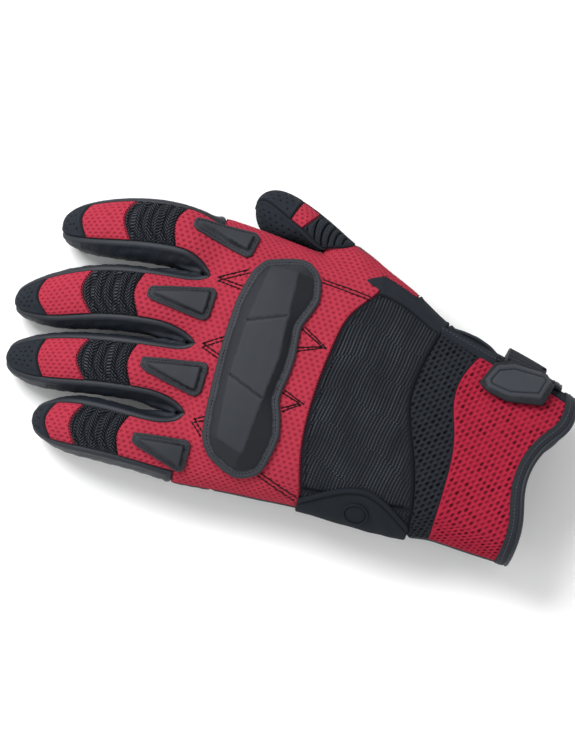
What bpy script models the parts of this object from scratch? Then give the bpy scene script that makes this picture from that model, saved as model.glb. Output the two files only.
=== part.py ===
"""Left-hand short-cuff riding glove, palm down, as an assembly of its sewn and
moulded pieces.  +Y points to the fingertips, +X to the thumb side, +Z out of the
back of the hand; z = 0 is the plane the palm heel pad rests on.

The shell is one quad cage, smoothed once.  Each shell panel is cut from that
surface, thickened inward and parted from its neighbours by a fine sewing gap.
The applied parts are laid on the same surface.  All sizes are millimetres;
make() turns them into metres."""
import math

import bmesh
import bpy
from mathutils import Vector
from mathutils.bvhtree import BVHTree

MM = 0.001                  # metres per millimetre

# ---------------------------------------------------------------- dimensions
SHELL = 1.5                 # thickness of the outer material
SEAM_PULL = 0.2625          # how far each panel edge is pulled back
CLEAR = 0.42                # clearance of applied parts above the shell

LINING = 0.8                # thickness of the cuff lining
LINING_GAP = 0.35           # gap between shell and lining
LINING_PULL = 1.125         # pull-back of the lining edge

PAD_FLANGE = 1.3            # flange height of a finger pad
PAD_RISE = 3.2              # raised facet of a finger pad
GUARD_FLANGE = 1.7          # flange height of the knuckle guard
GUARD_RISE = 4.6            # raised plateau of the knuckle guard
CROWN = 0.2                 # extra height at the middle of pads and guard
PLATE_STEP = 5.0            # point spacing along a plate outline

HEEL_PAD_Z = 0.0            # flat underside of the palm heel pad
HEEL_PAD_BEVEL = 0.9        # height of the bevel around that underside
HEEL_PAD_STEP = 6.0         # point spacing along its outline

BINDING_RADIUS = 1.9        # cuff binding tube
BINDING_GAP = 0.25          # gap between hem and binding
BINDING_SIDES = 8

BUTTON_NEAR = (-60.0, -32.2, 36.0)      # the button sits at the closest shell point
BUTTON_SIDES = 20
# radius, height above the shell
BUTTON_PROFILE = ((2.0, CLEAR), (5.4, CLEAR), (5.4, CLEAR + 0.7), (4.6, CLEAR + 1.0),
                  (1.5, CLEAR + 0.8))

# ---------------------------------------------------------------- object origins
KNUCKLES = (0.0, 37.0, 20.0)
WRIST = (-8.0, -33.0, 25.0)
THUMB_JOINT = (59.3, 11.4, 17.6)
STRAP_END = (31.4, -85.5, 26.2)
FINGER_JOINTS = {"index": (43.1, 76.0, 21.6), "middle": (12.0, 85.4, 21.2),
                 "ring": (-16.5, 80.4, 20.8), "pinky": (-44.2, 77.0, 19.4)}

# Pieces not listed here have their origin at the glove origin.
ORIGINS = {
    "back_mesh_front": KNUCKLES,
    **dict.fromkeys(("thumb_mesh", "thumb_tip_cap", "thumb_tip_leather"), THUMB_JOINT),
    **dict.fromkeys(("strap_tab", "strap_grip", "hook_patch"), STRAP_END),
    **dict.fromkeys(("air_mesh_panel", "cuff_mesh", "cuff_palm", "cuff_gusset", "cuff_lining",
                     "cuff_binding", "strap_band", "strap_keeper", "loop_patch"), WRIST),
}
for finger_name, finger_joint in FINGER_JOINTS.items():
    for part in ("mesh", "tip_cap", "tip_leather"):
        ORIGINS[f"{finger_name}_{part}"] = finger_joint
    for part in ("accordion", "bend_leather", "base_leather", "pad"):
        ORIGINS[f"{finger_name}_{part}"] = KNUCKLES

# ---------------------------------------------------------------- finishes
# finish: linear RGB, roughness
FINISHES = {
    "red": ((0.51, 0.045, 0.075), 0.75),
    "cuff red": ((0.40, 0.02, 0.045), 0.75),
    "leather": ((0.018, 0.022, 0.03), 0.5),
    "suede": ((0.032, 0.038, 0.046), 0.9),
    "elastic": ((0.014, 0.018, 0.024), 0.8),
    "rubber": ((0.05, 0.055, 0.062), 0.55),
    "lining": ((0.03, 0.03, 0.034), 0.9),
}
# The first finish with a matching name ending applies; everything else is leather.
FINISH_ENDINGS = (
    ("cuff red", ("cuff_mesh",)),
    ("red", ("_mesh", "back_mesh_front")),
    ("elastic", ("_accordion", "elastic_panel", "air_mesh_panel", "wrist_palm_stretch",
                 "loop_patch", "hook_patch")),
    ("suede", ("_tip_cap", "thumb_web_patch", "side_flap", "thumb_tip_leather",
               "thumb_bend_leather", "flap_button")),
    ("rubber", ("_pad", "knuckle_guard", "strap_tab", "strap_grip", "strap_keeper")),
    ("lining", ("cuff_lining",)),
)

# ---------------------------------------------------------------- hand cage tables
# Rings across the hand, from the finger roots to the cuff hem.
# (mid height, rise of the back, drop of the palm, palm straightening, palm bow),
# then x, y along the back from the thumb edge to the little-finger edge.
# Straightening moves the palm corners toward the line between the two edges (0..1);
# bow moves them toward the fingertips, most at mid width.
HAND_RINGS = (
    ((24.0, 14.6, 13.0, 0.0, 0.0),
     ((57.8, 54.0), (53.0, 54.0), (41.6, 53.2), (28.9, 51.6), (13.6, 51.0), (-0.8, 50.4),
      (-15.0, 48.8), (-30.0, 46.6), (-44.4, 45.4), (-56.2, 45.4), (-59.6, 45.8))),
    ((24.0, 17.2, 15.6, 0.0, 0.0),
     ((56.6, 37.0), (52.0, 37.0), (41.8, 37.0), (29.3, 37.0), (14.8, 37.0), (0.6, 37.0),
      (-13.6, 37.0), (-29.0, 37.0), (-43.4, 37.0), (-55.0, 37.0), (-59.0, 37.0))),
    ((24.0, 18.2, 17.4, 0.0, 0.0),
     ((55.4, 28.0), (51.0, 28.4), (41.6, 28.8), (29.2, 29.2), (15.0, 29.6), (1.2, 30.0),
      (-12.6, 30.0), (-28.2, 30.0), (-42.4, 30.0), (-54.2, 29.6), (-58.4, 29.2))),
    ((24.5, 19.0, 19.6, 0.5, 0.0),
     ((53.0, 6.4), (48.6, 7.0), (40.6, 10.5), (28.8, 14.0), (15.2, 16.6), (1.8, 18.6),
      (-12.0, 19.2), (-27.0, 19.4), (-41.0, 19.0), (-53.0, 18.4), (-57.6, 17.8))),
    ((24.8, 20.2, 20.4, 0.5, 0.0),
     ((51.6, -7.0), (46.6, -6.8), (38.0, -2.6), (28.0, 2.4), (15.8, 5.6), (2.4, 8.0),
      (-11.0, 8.8), (-25.4, 9.1), (-39.4, 8.6), (-51.8, 7.0), (-57.8, 5.8))),
    ((25.0, 20.9, 20.8, 1.0, 0.0),
     ((53.4, -20.6), (48.0, -18.6), (41.4, -20.6), (28.6, -5.6), (16.2, -3.6), (3.1, -1.5),
      (-8.9, -0.2), (-21.7, 0.5), (-34.7, -0.1), (-48.4, -4.1), (-57.6, -7.0))),
    ((25.0, 21.2, 20.8, 1.0, 0.0),
     ((46.6, -35.4), (44.0, -34.6), (39.0, -32.0), (25.4, -27.0), (12.0, -24.4), (0.3, -23.5),
      (-10.4, -23.8), (-21.8, -25.1), (-33.3, -28.3), (-48.6, -33.6), (-59.6, -37.3))),
    ((25.0, 20.8, 20.6, 1.0, 0.0),
     ((36.4, -50.0), (34.2, -49.0), (30.6, -47.2), (19.0, -44.8), (8.0, -42.3), (-2.3, -41.0),
      (-11.1, -44.0), (-19.7, -48.9), (-29.4, -53.8), (-44.6, -58.0), (-60.2, -58.9))),
    ((25.0, 20.2, 20.6, 0.0, 0.5),
     ((32.4, -69.6), (27.6, -67.1), (21.6, -63.5), (14.4, -59.6), (6.7, -59.0), (-1.2, -61.8),
      (-8.2, -64.7), (-16.7, -65.3), (-27.0, -64.4), (-43.2, -63.0), (-58.2, -62.4))),
    ((25.0, 19.8, 20.6, 0.0, 1.2),
     ((28.6, -87.8), (23.0, -86.2), (15.6, -82.3), (7.5, -78.2), (-0.6, -76.4), (-9.5, -76.6),
      (-16.8, -78.1), (-24.7, -79.4), (-34.2, -79.8), (-47.8, -78.6), (-57.8, -77.5))),
    ((25.2, 20.4, 20.8, 0.0, 2.4),
     ((22.6, -105.4), (15.6, -107.4), (5.2, -106.8), (-0.9, -101.2), (-8.3, -96.4),
      (-17.9, -93.6), (-26.6, -93.6), (-34.0, -95.3), (-41.5, -97.0), (-50.6, -96.6),
      (-57.6, -95.2))),
)
BACK_FULLNESS = 2.7         # exponents of the arch across the hand
PALM_FULLNESS = 3.2

# Corners of a hand ring: 0-8 back, 9 little-finger edge, 10-18 palm, 19 thumb edge.
HAND_CORNERS = 20
# First ring: height of the corners between two fingers, {corner: z}
WEB_HEIGHTS = {2: 33.6, 4: 34.4, 6: 33.2, 12: 15.2, 14: 14.2, 16: 14.6}
# One point in the middle of each web; they become corners 20-22 of the first ring.
WEB_MIDDLES = ((28.9, 53.0, 24.0), (-0.8, 52.0, 24.4), (-30.0, 48.2, 23.8))

# Panels between successive hand rings, as (number of quads, panel) from corner 0.
HAND_STRIPS = (
    ((9, "back_mesh_front"), (10, "palm_crease"), (1, "back_mesh_front")),
    ((9, "back_mesh"), (10, "palm_crease"), (1, "back_mesh")),
    ((9, "back_mesh"), (10, "palm_leather"), (1, "back_mesh")),
    ((9, "back_mesh"), (9, "palm_leather"), (2, None)),         # None: thumb opening
    ((9, "back_mesh"), (9, "palm_leather"), (2, None)),
    ((1, "thumb_web_patch"), (7, "elastic_panel"), (2, "side_flap"), (9, "palm_leather"),
     (1, "thumb_side_mesh")),
    ((1, "thumb_web_patch"), (7, "elastic_panel"), (2, "side_flap"), (8, "wrist_palm_stretch"),
     (2, "thumb_web_patch")),
    ((9, "air_mesh_panel"), (9, "cuff_palm"), (2, "cuff_gusset")),
    ((9, "cuff_mesh"), (9, "cuff_palm"), (2, "cuff_gusset")),
    ((9, "cuff_mesh"), (9, "cuff_palm"), (2, "cuff_gusset")),
)
CUFF_PANELS = ("air_mesh_panel", "cuff_mesh", "cuff_palm", "cuff_gusset")

# ---------------------------------------------------------------- digit cage tables
RING_CORNERS = 8            # corner 0 faces +X, corner 2 the back, before roll
RING_SPREAD = 1.108         # cage radius / wanted radius, as smoothing draws rings in
BACK_COLUMNS = (1, 2)       # quad columns on the back of a digit

# roll: degrees; base: corners of the first hand ring;
# stations: x, y, z of the axis, half width, half height, lead of the back corner
FINGERS = {
    "index": {
        "roll": 16.0,
        "base": (19, 0, 1, 2, 20, 16, 17, 18),
        "stations": ((42.6, 60.0, 25.2, 13.0, 13.2, 1.0), (43.4, 67.0, 24.8, 13.6, 12.6, 6.2),
                     (43.1, 76.5, 23.4, 13.8, 12.0, 6.0), (42.1, 86.0, 21.0, 13.5, 11.3, 6.6),
                     (40.5, 95.5, 17.4, 12.7, 10.7, 5.2), (38.7, 104.6, 13.2, 11.3, 9.9, 5.0),
                     (37.5, 111.3, 9.8, 9.2, 8.7, 1.6), (36.5, 116.6, 8.0, 5.9, 5.4, 0.4)),
        "tip": (36.1, 119.2, 7.2)},
    "middle": {
        "roll": 6.0,
        "base": (20, 2, 3, 4, 21, 14, 15, 16),
        "stations": ((14.2, 64.0, 25.4, 13.9, 13.2, 1.0), (13.1, 76.5, 24.4, 14.1, 12.6, 6.6),
                     (12.0, 86.0, 22.8, 14.1, 12.0, 6.6), (10.4, 94.8, 20.4, 13.8, 11.3, 7.4),
                     (7.6, 104.6, 16.6, 13.1, 10.7, 6.0), (4.8, 113.0, 12.8, 11.9, 9.9, 7.6),
                     (2.4, 121.6, 9.4, 8.8, 8.7, 1.8), (0.8, 127.6, 7.8, 5.6, 5.4, 0.4)),
        "tip": (0.1, 130.6, 7.2)},
    "ring": {
        "roll": 2.0,
        "base": (21, 4, 5, 6, 22, 12, 13, 14),
        "stations": ((-14.6, 60.0, 25.0, 13.4, 13.2, 1.0), (-15.6, 72.0, 24.0, 13.4, 12.5, 5.8),
                     (-16.5, 81.0, 22.4, 13.3, 11.9, 6.4), (-17.5, 89.5, 20.0, 13.0, 11.3, 7.4),
                     (-18.9, 99.0, 16.4, 12.8, 10.7, 5.6), (-20.4, 107.8, 12.6, 12.2, 9.9, 4.8),
                     (-22.0, 117.4, 9.4, 10.2, 8.7, 1.8), (-22.9, 125.0, 7.8, 6.2, 5.4, 0.4)),
        "tip": (-23.3, 128.2, 7.2)},
    "pinky": {
        "roll": -5.0,
        "base": (22, 6, 7, 8, 9, 10, 11, 12),
        "stations": ((-44.9, 56.0, 23.8, 12.8, 12.6, 1.0), (-44.5, 68.6, 22.8, 12.8, 12.0, 5.6),
                     (-44.2, 77.6, 21.0, 13.1, 11.5, 5.8), (-44.2, 86.4, 18.4, 12.9, 11.0, 6.4),
                     (-44.3, 91.4, 16.4, 12.4, 10.6, 6.0), (-44.5, 95.6, 14.2, 11.7, 10.1, 6.4),
                     (-44.9, 102.4, 9.8, 8.8, 8.8, 1.8), (-45.0, 107.6, 8.0, 5.2, 5.2, 0.4)),
        "tip": (-45.1, 110.4, 7.2)},
}


def even_angles(roll):
    """Corner angles (degrees) of an evenly divided digit ring."""
    return [45 * k - roll for k in range(RING_CORNERS)]


# outer x, y, inner x, y, mid height, half height (outer = +X side of the thumb)
THUMB_STATIONS = (
    (56.6, -12.4, 53.0, 9.8, 21.0, 12.2), (59.6, -3.4, 54.0, 13.2, 19.2, 12.2),
    (64.6, 5.0, 54.2, 17.8, 17.6, 12.2), (68.8, 13.6, 53.8, 22.8, 16.0, 12.2),
    (72.8, 22.4, 53.6, 28.6, 14.5, 11.9), (75.4, 31.0, 54.6, 34.2, 13.0, 10.8),
    (75.0, 37.4, 57.2, 37.9, 11.8, 8.6), (71.4, 40.9, 61.8, 40.7, 10.8, 4.8))
# Corner angles per station; the first four bring the back columns down the inner side.
THUMB_ANGLES = (
    (-42, 4, 54, 104, 148, 192, 236, 277), (-25, 25, 85, 148, 192, 235, 278, 315),
    (-18, 28, 80, 136, 180, 225, 268, 306), (-27, 18, 62, 106, 152, 198, 243, 288),
    even_angles(38.0), even_angles(50.0), even_angles(62.0), even_angles(70.0))
# {(station, corner): shift along the thumb}
THUMB_LEADS = {(1, 1): -0.5, (1, 2): -5.0, (1, 3): -4.5, (1, 4): -3.0,
               (2, 2): -1.5, (2, 3): -1.5, (3, 3): 1.5}
THUMB_LEAD_X, THUMB_LEAD_Y = 0.37, 0.93     # direction of those shifts
THUMB_TIP = (66.8, 42.3, 10.2)
# (hand ring, corner) around the thumb opening
THUMB_BASE = ((5, 18), (5, 19), (5, 0), (4, 0), (3, 0), (3, 19), (3, 18), (4, 18))

# ---------------------------------------------------------------- plate tables
# Outlines and spines are x, y.  A plate ring is its outline drawn in toward the spine.
FINGER_PADS = {
    "index_pad": (
        ((47.2, 64.7), (50.5, 64.3), (51.0, 61.1), (51.2, 38.1), (49.5, 35.8), (40.7, 37.5),
         (39.7, 39.8), (45.8, 63.2)),
        ((48.2, 60.0), (45.6, 42.0))),
    "middle_pad": (
        ((17.0, 75.6), (13.2, 75.8), (12.1, 73.0), (9.1, 50.2), (10.9, 48.0), (22.1, 47.3),
         (23.8, 49.3), (17.8, 74.5)),
        ((15.0, 71.0), (16.4, 54.0))),
    "ring_pad": (
        ((-12.3, 70.8), (-16.0, 70.7), (-17.5, 68.2), (-22.6, 45.2), (-20.5, 43.0),
         (-9.0, 42.7), (-7.7, 44.5), (-11.9, 69.7)),
        ((-14.5, 66.5), (-15.0, 49.0))),
    "pinky_pad": (
        ((-43.6, 65.8), (-47.1, 66.1), (-48.6, 63.5), (-53.9, 44.4), (-52.8, 41.7),
         (-42.3, 41.4), (-40.7, 43.4), (-43.3, 64.6)),
        ((-45.8, 61.5), (-47.3, 47.0))),
}
GUARD_OUTLINE = (
    (40.4, 31.7), (42.7, 25.2), (44.6, 17.7), (44.3, 13.2), (41.7, 9.4), (38.3, 6.9),
    (33.8, 5.7), (28.6, 5.0), (23.2, 6.7), (16.3, 9.6), (11.8, 9.4), (3.4, 8.7), (-4.2, 9.2),
    (-12.2, 10.5), (-16.2, 10.7), (-21.7, 8.5), (-29.8, 6.6), (-35.5, 7.3), (-43.6, 9.2),
    (-47.1, 11.3), (-49.5, 16.1), (-50.3, 20.9), (-48.7, 26.3), (-45.1, 33.3), (-40.9, 36.6),
    (-36.3, 38.1), (-27.4, 38.9), (-16.0, 39.5), (0.1, 39.7), (10.2, 39.4), (20.3, 38.8),
    (27.9, 37.2), (34.7, 35.4))
GUARD_SPINE = ((34.0, 20.5), (20.0, 23.5), (0.0, 24.5), (-20.0, 24.0), (-38.0, 23.0))
TAB_OUTLINE = (
    (20.2, -72.2), (12.7, -67.8), (11.1, -69.2), (9.5, -72.6), (7.7, -81.1), (9.7, -95.0),
    (11.9, -96.4), (18.4, -97.6), (19.4, -93.2), (20.4, -87.0), (21.2, -79.0))
TAB_SPINE = ((15.4, -76.0), (15.2, -91.0))
HEEL_PAD_OUTLINE = (
    (20.0, 7.0), (24.0, -4.0), (22.0, -20.0), (15.0, -29.0), (3.0, -32.0), (-14.0, -31.0),
    (-26.0, -27.0), (-31.0, -14.0), (-30.0, 0.0), (-24.0, 8.0), (-4.0, 11.0), (10.0, 10.5))
HEEL_PAD_SPINE = ((-18.0, -12.0), (10.0, -11.0))
OUTER_PAD_OUTLINE = (
    (-33.0, -6.0), (-30.5, 6.0), (-31.5, 19.0), (-37.0, 22.5), (-44.0, 18.0), (-46.0, 4.0),
    (-43.5, -10.0), (-37.0, -12.0))
OUTER_PAD_SPINE = ((-38.5, -4.0), (-38.0, 14.0))

# Profiles: fraction of the outline, height above the clearance.
FINGER_PAD_PROFILE = ((0.28, 0.0), (0.7, 0.0), (1.0, 0.0), (1.0, PAD_FLANGE),
                      (0.72, PAD_FLANGE), (0.5, PAD_RISE), (0.3, PAD_RISE + CROWN))
GUARD_PROFILE = ((0.25, 0.0), (0.5, 0.0), (0.78, 0.0), (1.0, 0.0), (1.0, GUARD_FLANGE),
                 (0.84, GUARD_FLANGE), (0.62, GUARD_RISE), (0.35, GUARD_RISE + CROWN))
# The three layers of the strap end, from the shell up.
LOOP_PROFILE = ((0.25, 0.0), (0.5, 0.0), (0.84, 0.0), (0.84, 0.6), (0.5, 0.6), (0.25, 0.6))
HOOK_PROFILE = ((0.25, 0.95), (0.5, 0.95), (0.8, 0.95), (0.8, 1.4), (0.5, 1.4), (0.25, 1.4))
TAB_PROFILE = ((0.25, 2.0), (0.5, 2.0), (1.0, 2.0), (1.0, 3.2), (0.8, 3.3), (0.66, 4.1),
               (0.3, 4.2))
OUTER_PAD_PROFILE = ((0.3, 0.0), (0.65, 0.0), (1.0, 0.0), (1.0, 1.6), (0.85, 2.2), (0.3, 2.2))
# Heel pad: fractions of the rings on the palm, then (fraction, z) of those below.
HEEL_PAD_TOP = (0.3, 0.65, 1.0)
HEEL_PAD_BOTTOM = ((1.0, HEEL_PAD_Z + HEEL_PAD_BEVEL), (0.93, HEEL_PAD_Z), (0.3, HEEL_PAD_Z))

# Bands around the cuff: y range, angle range (degrees from +X toward +Z), thickness,
# divisions along y and around.  Angles turn about the line x, z below.
BAND_CENTRE_X, BAND_CENTRE_Z = -13.0, 25.0
BANDS = {
    "strap_band": ((-76.0, -94.0), (-66.0, -3.0), 1.6, (4, 14)),
    "strap_grip": ((-77.0, -94.0), (2.0, 14.5), 3.2, (8, 4)),
    "strap_keeper": ((-97.5, -102.0), (-16.0, 14.0), 2.2, (2, 5)),
}


# ---------------------------------------------------------------- control cage
class Cage:
    """Vertices, quads and one panel name per quad."""

    def __init__(self):
        self.vertices = []
        self.quads = []
        self.panels = []

    def add_points(self, points):
        """Add points and return their indices."""
        start = len(self.vertices)
        self.vertices += [tuple(point) for point in points]
        return list(range(start, len(self.vertices)))

    def add_quad(self, quad, panel):
        self.quads.append(quad)
        self.panels.append(panel)


def hand_ring(shape, points):
    """Corner points of one ring across the hand."""
    mid_z, rise, drop, straightening, bow = shape
    (thumb_x, thumb_y), (little_x, little_y) = points[0], points[-1]
    centre = 0.5 * (thumb_x + little_x)
    half_width = 0.5 * (thumb_x - little_x)
    back, palm = [], []
    for x, y in points[1:-1]:
        reach = abs(x - centre) / half_width
        back.append((x, y, mid_z + rise * math.sqrt(1.0 - reach ** BACK_FULLNESS)))
        share = (x - little_x) / (thumb_x - little_x)
        straight_y = little_y + (thumb_y - little_y) * share
        palm_y = y + straightening * (straight_y - y) + bow * 4.0 * share * (1.0 - share)
        palm.append((x, palm_y, mid_z - drop * math.sqrt(1.0 - reach ** PALM_FULLNESS)))
    little_edge, thumb_edge = (little_x, little_y, mid_z), (thumb_x, thumb_y, mid_z)
    return back + [little_edge] + palm[::-1] + [thumb_edge]


def add_hand(cage):
    """Add the hand and cuff; return the vertex indices of every ring."""
    rings = [hand_ring(shape, points) for shape, points in HAND_RINGS]
    for corner, z in WEB_HEIGHTS.items():
        x, y, _ = rings[0][corner]
        rings[0][corner] = (x, y, z)
    loops = [cage.add_points(ring) for ring in rings]
    for front, rear, strip in zip(loops, loops[1:], HAND_STRIPS):
        panels = [panel for count, panel in strip for _ in range(count)]
        for c, panel in enumerate(panels):
            if panel:
                d = (c + 1) % HAND_CORNERS
                cage.add_quad((front[c], front[d], rear[d], rear[c]), panel)
    loops[0] += cage.add_points(WEB_MIDDLES)
    return loops


def digit_strips(digit, root_panel, root_columns, mesh_strips):
    """Panel names of a digit, one list of eight per strip from root to tip."""
    def strip(back, rest, columns=BACK_COLUMNS):
        return [back if k in columns else rest for k in range(RING_CORNERS)]

    tip_leather = f"{digit}_tip_leather"
    return ([strip(root_panel, f"{digit}_base_leather", root_columns)] * 2
            + [strip(f"{digit}_accordion", f"{digit}_bend_leather")] * 2
            + [strip(f"{digit}_mesh", tip_leather)] * mesh_strips
            + [strip(f"{digit}_tip_cap", tip_leather)] * (5 - mesh_strips))


def add_digit(cage, base, rings, tip_point, strips):
    """Add a tube of rings on the base loop, closed by four quads around the tip."""
    loops = [base] + [cage.add_points(ring) for ring in rings]
    tip, = cage.add_points([tip_point])
    for near, far, strip in zip(loops, loops[1:], strips):
        for k in range(RING_CORNERS):
            m = (k + 1) % RING_CORNERS
            cage.add_quad((near[k], far[k], far[m], near[m]), strip[k])
    last = loops[-1]
    for k in (7, 1, 3, 5):
        quad = (tip, last[(k + 2) % RING_CORNERS], last[(k + 1) % RING_CORNERS], last[k])
        cage.add_quad(quad, strips[-1][k])


def finger_rings(roll, stations, tip):
    """Rings square to the finger axis, the back corner led along it."""
    centres = [Vector(station[:3]) for station in stations] + [Vector(tip)]
    rings = []
    for i, (_, _, _, half_width, half_height, lead) in enumerate(stations):
        along = (centres[i + 1] - centres[max(0, i - 1)]).normalized()
        across = Vector((along.y, -along.x, 0.0)).normalized()
        up = across.cross(along)
        ring = []
        for degrees in even_angles(roll):
            angle = math.radians(degrees)
            ring.append(centres[i] + across * (half_width * RING_SPREAD * math.cos(angle))
                        + up * (half_height * RING_SPREAD * math.sin(angle)))
        ring[2] += along * lead
        rings.append(ring)
    return rings


def thumb_rings():
    """Upright rings between the outer and inner side of the thumb."""
    rings = []
    for i, (outer_x, outer_y, inner_x, inner_y, z, half_height) in enumerate(THUMB_STATIONS):
        centre_x, centre_y = 0.5 * (outer_x + inner_x), 0.5 * (outer_y + inner_y)
        half_x, half_y = 0.5 * (outer_x - inner_x), 0.5 * (outer_y - inner_y)
        ring = []
        for k, degrees in enumerate(THUMB_ANGLES[i]):
            angle = math.radians(degrees)
            outward = RING_SPREAD * math.cos(angle)
            lead = THUMB_LEADS.get((i, k), 0.0)
            ring.append((centre_x + half_x * outward + THUMB_LEAD_X * lead,
                         centre_y + half_y * outward + THUMB_LEAD_Y * lead,
                         z + half_height * RING_SPREAD * math.sin(angle)))
        rings.append(ring)
    return rings


def build_cage():
    cage = Cage()
    hand = add_hand(cage)
    for name, finger in FINGERS.items():
        base = [hand[0][corner] for corner in finger["base"]]
        rings = finger_rings(finger["roll"], finger["stations"], finger["tip"])
        strips = digit_strips(name, "back_mesh_front", BACK_COLUMNS, mesh_strips=2)
        add_digit(cage, base, rings, finger["tip"], strips)
    base = [hand[ring][corner] for ring, corner in THUMB_BASE]
    strips = digit_strips("thumb", "back_mesh", (1, 2, 3, 4), mesh_strips=1)
    add_digit(cage, base, thumb_rings(), THUMB_TIP, strips)
    return cage


def smooth_cage(cage, level):
    """The subdivided cage: vertices, normals, faces and a panel name per face."""
    names = sorted(set(cage.panels))
    mesh = bpy.data.meshes.new("cage")
    mesh.from_pydata(cage.vertices, [], cage.quads)
    panel_ids = mesh.attributes.new("panel", "INT", "FACE")
    for i, panel in enumerate(cage.panels):
        panel_ids.data[i].value = names.index(panel)
    helper = bpy.data.objects.new("cage", mesh)
    bpy.context.scene.collection.objects.link(helper)
    subdivision = helper.modifiers.new("smooth", "SUBSURF")
    subdivision.levels = subdivision.render_levels = level
    smooth = helper.evaluated_get(bpy.context.evaluated_depsgraph_get()).to_mesh()
    vertices = [v.co.copy() for v in smooth.vertices]
    normals = [v.normal.copy() for v in smooth.vertices]
    faces = [tuple(p.vertices) for p in smooth.polygons]
    panels = [names[item.value] for item in smooth.attributes["panel"].data]
    bpy.data.objects.remove(helper, do_unlink=True)
    bpy.data.meshes.remove(mesh)
    return vertices, normals, faces, panels


# ---------------------------------------------------------------- making objects
def make_material(name):
    finish = next((f for f, endings in FINISH_ENDINGS if name.endswith(endings)), "leather")
    rgb, roughness = FINISHES[finish]
    material = bpy.data.materials.new(name + "_material")
    material.use_nodes = True
    shader = material.node_tree.nodes["Principled BSDF"]
    shader.inputs["Base Color"].default_value = (*rgb, 1.0)
    shader.inputs["Roughness"].default_value = roughness
    material.diffuse_color = (*rgb, 1.0)
    return material


def make(name, vertices, faces, smooth=True):
    """A closed body from vertices in millimetres, with its own origin and material."""
    origin = Vector(ORIGINS.get(name, (0.0, 0.0, 0.0)))
    mesh = bpy.data.meshes.new(name)
    mesh.from_pydata([tuple((v - origin) * MM) for v in vertices], [], faces)
    bm = bmesh.new()
    bm.from_mesh(mesh)
    bmesh.ops.recalc_face_normals(bm, faces=bm.faces)
    if bm.calc_volume(signed=True) < 0:         # normals came out facing inward
        bmesh.ops.reverse_faces(bm, faces=bm.faces)
    bmesh.ops.triangulate(bm, faces=[f for f in bm.faces if len(f.verts) > 4])
    bm.to_mesh(mesh)
    bm.free()
    for polygon in mesh.polygons:
        polygon.use_smooth = smooth
    mesh.materials.append(make_material(name))
    body = bpy.data.objects.new(name, mesh)
    body.location = origin * MM
    GLOVE.objects.link(body)


def loft(rings, closed=False):
    """Body through equally long rings: capped at both ends, or closed on itself."""
    n = len(rings[0])
    vertices = [point for ring in rings for point in ring]
    faces = []
    for i in range(len(rings) if closed else len(rings) - 1):
        j = (i + 1) % len(rings)
        for k in range(n):
            m = (k + 1) % n
            faces.append((i * n + k, i * n + m, j * n + m, j * n + k))
    if not closed:
        faces.append(tuple(reversed(range(n))))
        faces.append(tuple(range((len(rings) - 1) * n, len(rings) * n)))
    return vertices, faces


def mean_point(indices):
    return sum((VERTICES[v] for v in indices), Vector((0, 0, 0))) / len(indices)


# ---------------------------------------------------------------- shell panels
def open_edges(faces):
    """Directed edges that only one face uses."""
    edges = {}
    for face in faces:
        edges.update(dict.fromkeys(zip(face, face[1:] + face[:1])))
    return [(a, b) for a, b in edges if (b, a) not in edges]


def shell_panel(name, faces, outer=0.0, inner=-SHELL, edge_pull=SEAM_PULL):
    """Panel between two offsets of the smooth surface, its edge pulled back."""
    used = sorted({v for face in faces for v in face})
    index = {v: i for i, v in enumerate(used)}
    rim = open_edges(faces)
    pull = {v: Vector((0, 0, 0)) for edge in rim for v in edge}
    for face in faces:
        centre = mean_point(face)
        for v in face:
            if v in pull:
                pull[v] += (centre - VERTICES[v]).normalized()
    top, bottom = [], []
    for v in used:
        point, normal = VERTICES[v].copy(), NORMALS[v]
        if v in pull:
            tangent = pull[v] - normal * pull[v].dot(normal)
            if tangent.length > 1e-6:
                point += tangent.normalized() * edge_pull
        top.append(point + normal * outer)
        bottom.append(point + normal * inner)
    n = len(used)
    outside = [tuple(index[v] for v in face) for face in faces]
    inside = [tuple(index[v] + n for v in reversed(face)) for face in faces]
    sides = [(index[b], index[a], index[a] + n, index[b] + n) for a, b in rim]
    make(name, top + bottom, outside + inside + sides)


def make_shell():
    groups = {}
    for face, panel in zip(FACES, PANELS):
        groups.setdefault(panel, []).append(face)
    for name in sorted(groups):
        shell_panel(name, groups[name])


def make_cuff_lining():
    faces = [face for face, panel in zip(FACES, PANELS) if panel in CUFF_PANELS]
    outer = -SHELL - LINING_GAP
    shell_panel("cuff_lining", faces, outer, outer - LINING, LINING_PULL)


# ---------------------------------------------------------------- plates
def cast(start, direction, height):
    """Where a ray meets the shell, raised along the surface normal."""
    point, normal, _, _ = TREE.ray_cast(Vector(start), Vector(direction))
    return point + normal * height


def above(x, y, height):
    return cast((x, y, 90.0), (0, 0, -1), height)


def below(x, y, height):
    return cast((x, y, -40.0), (0, 0, 1), height)


def closest_on(line, point):
    """Closest point of an open poly-line."""
    best = None
    for a, b in zip(line, line[1:]):
        a, b = Vector(a), Vector(b)
        t = max(0.0, min(1.0, (point - a).dot(b - a) / (b - a).length_squared))
        candidate = a + (b - a) * t
        if best is None or (candidate - point).length < (best - point).length:
            best = candidate
    return best


def densify(outline, step):
    """Closed outline with points added about every step."""
    points = []
    for a, b in zip(outline, outline[1:] + outline[:1]):
        a, b = Vector(a), Vector(b)
        count = max(1, int(round((b - a).length / step)))
        points += [a + (b - a) * (i / count) for i in range(count)]
    return points


def draw_in(points, spine, fraction):
    """Points moved toward the spine, keeping a fraction of their distance."""
    feet = [closest_on(spine, point) for point in points]
    return [foot + (point - foot) * fraction for point, foot in zip(points, feet)]


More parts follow.
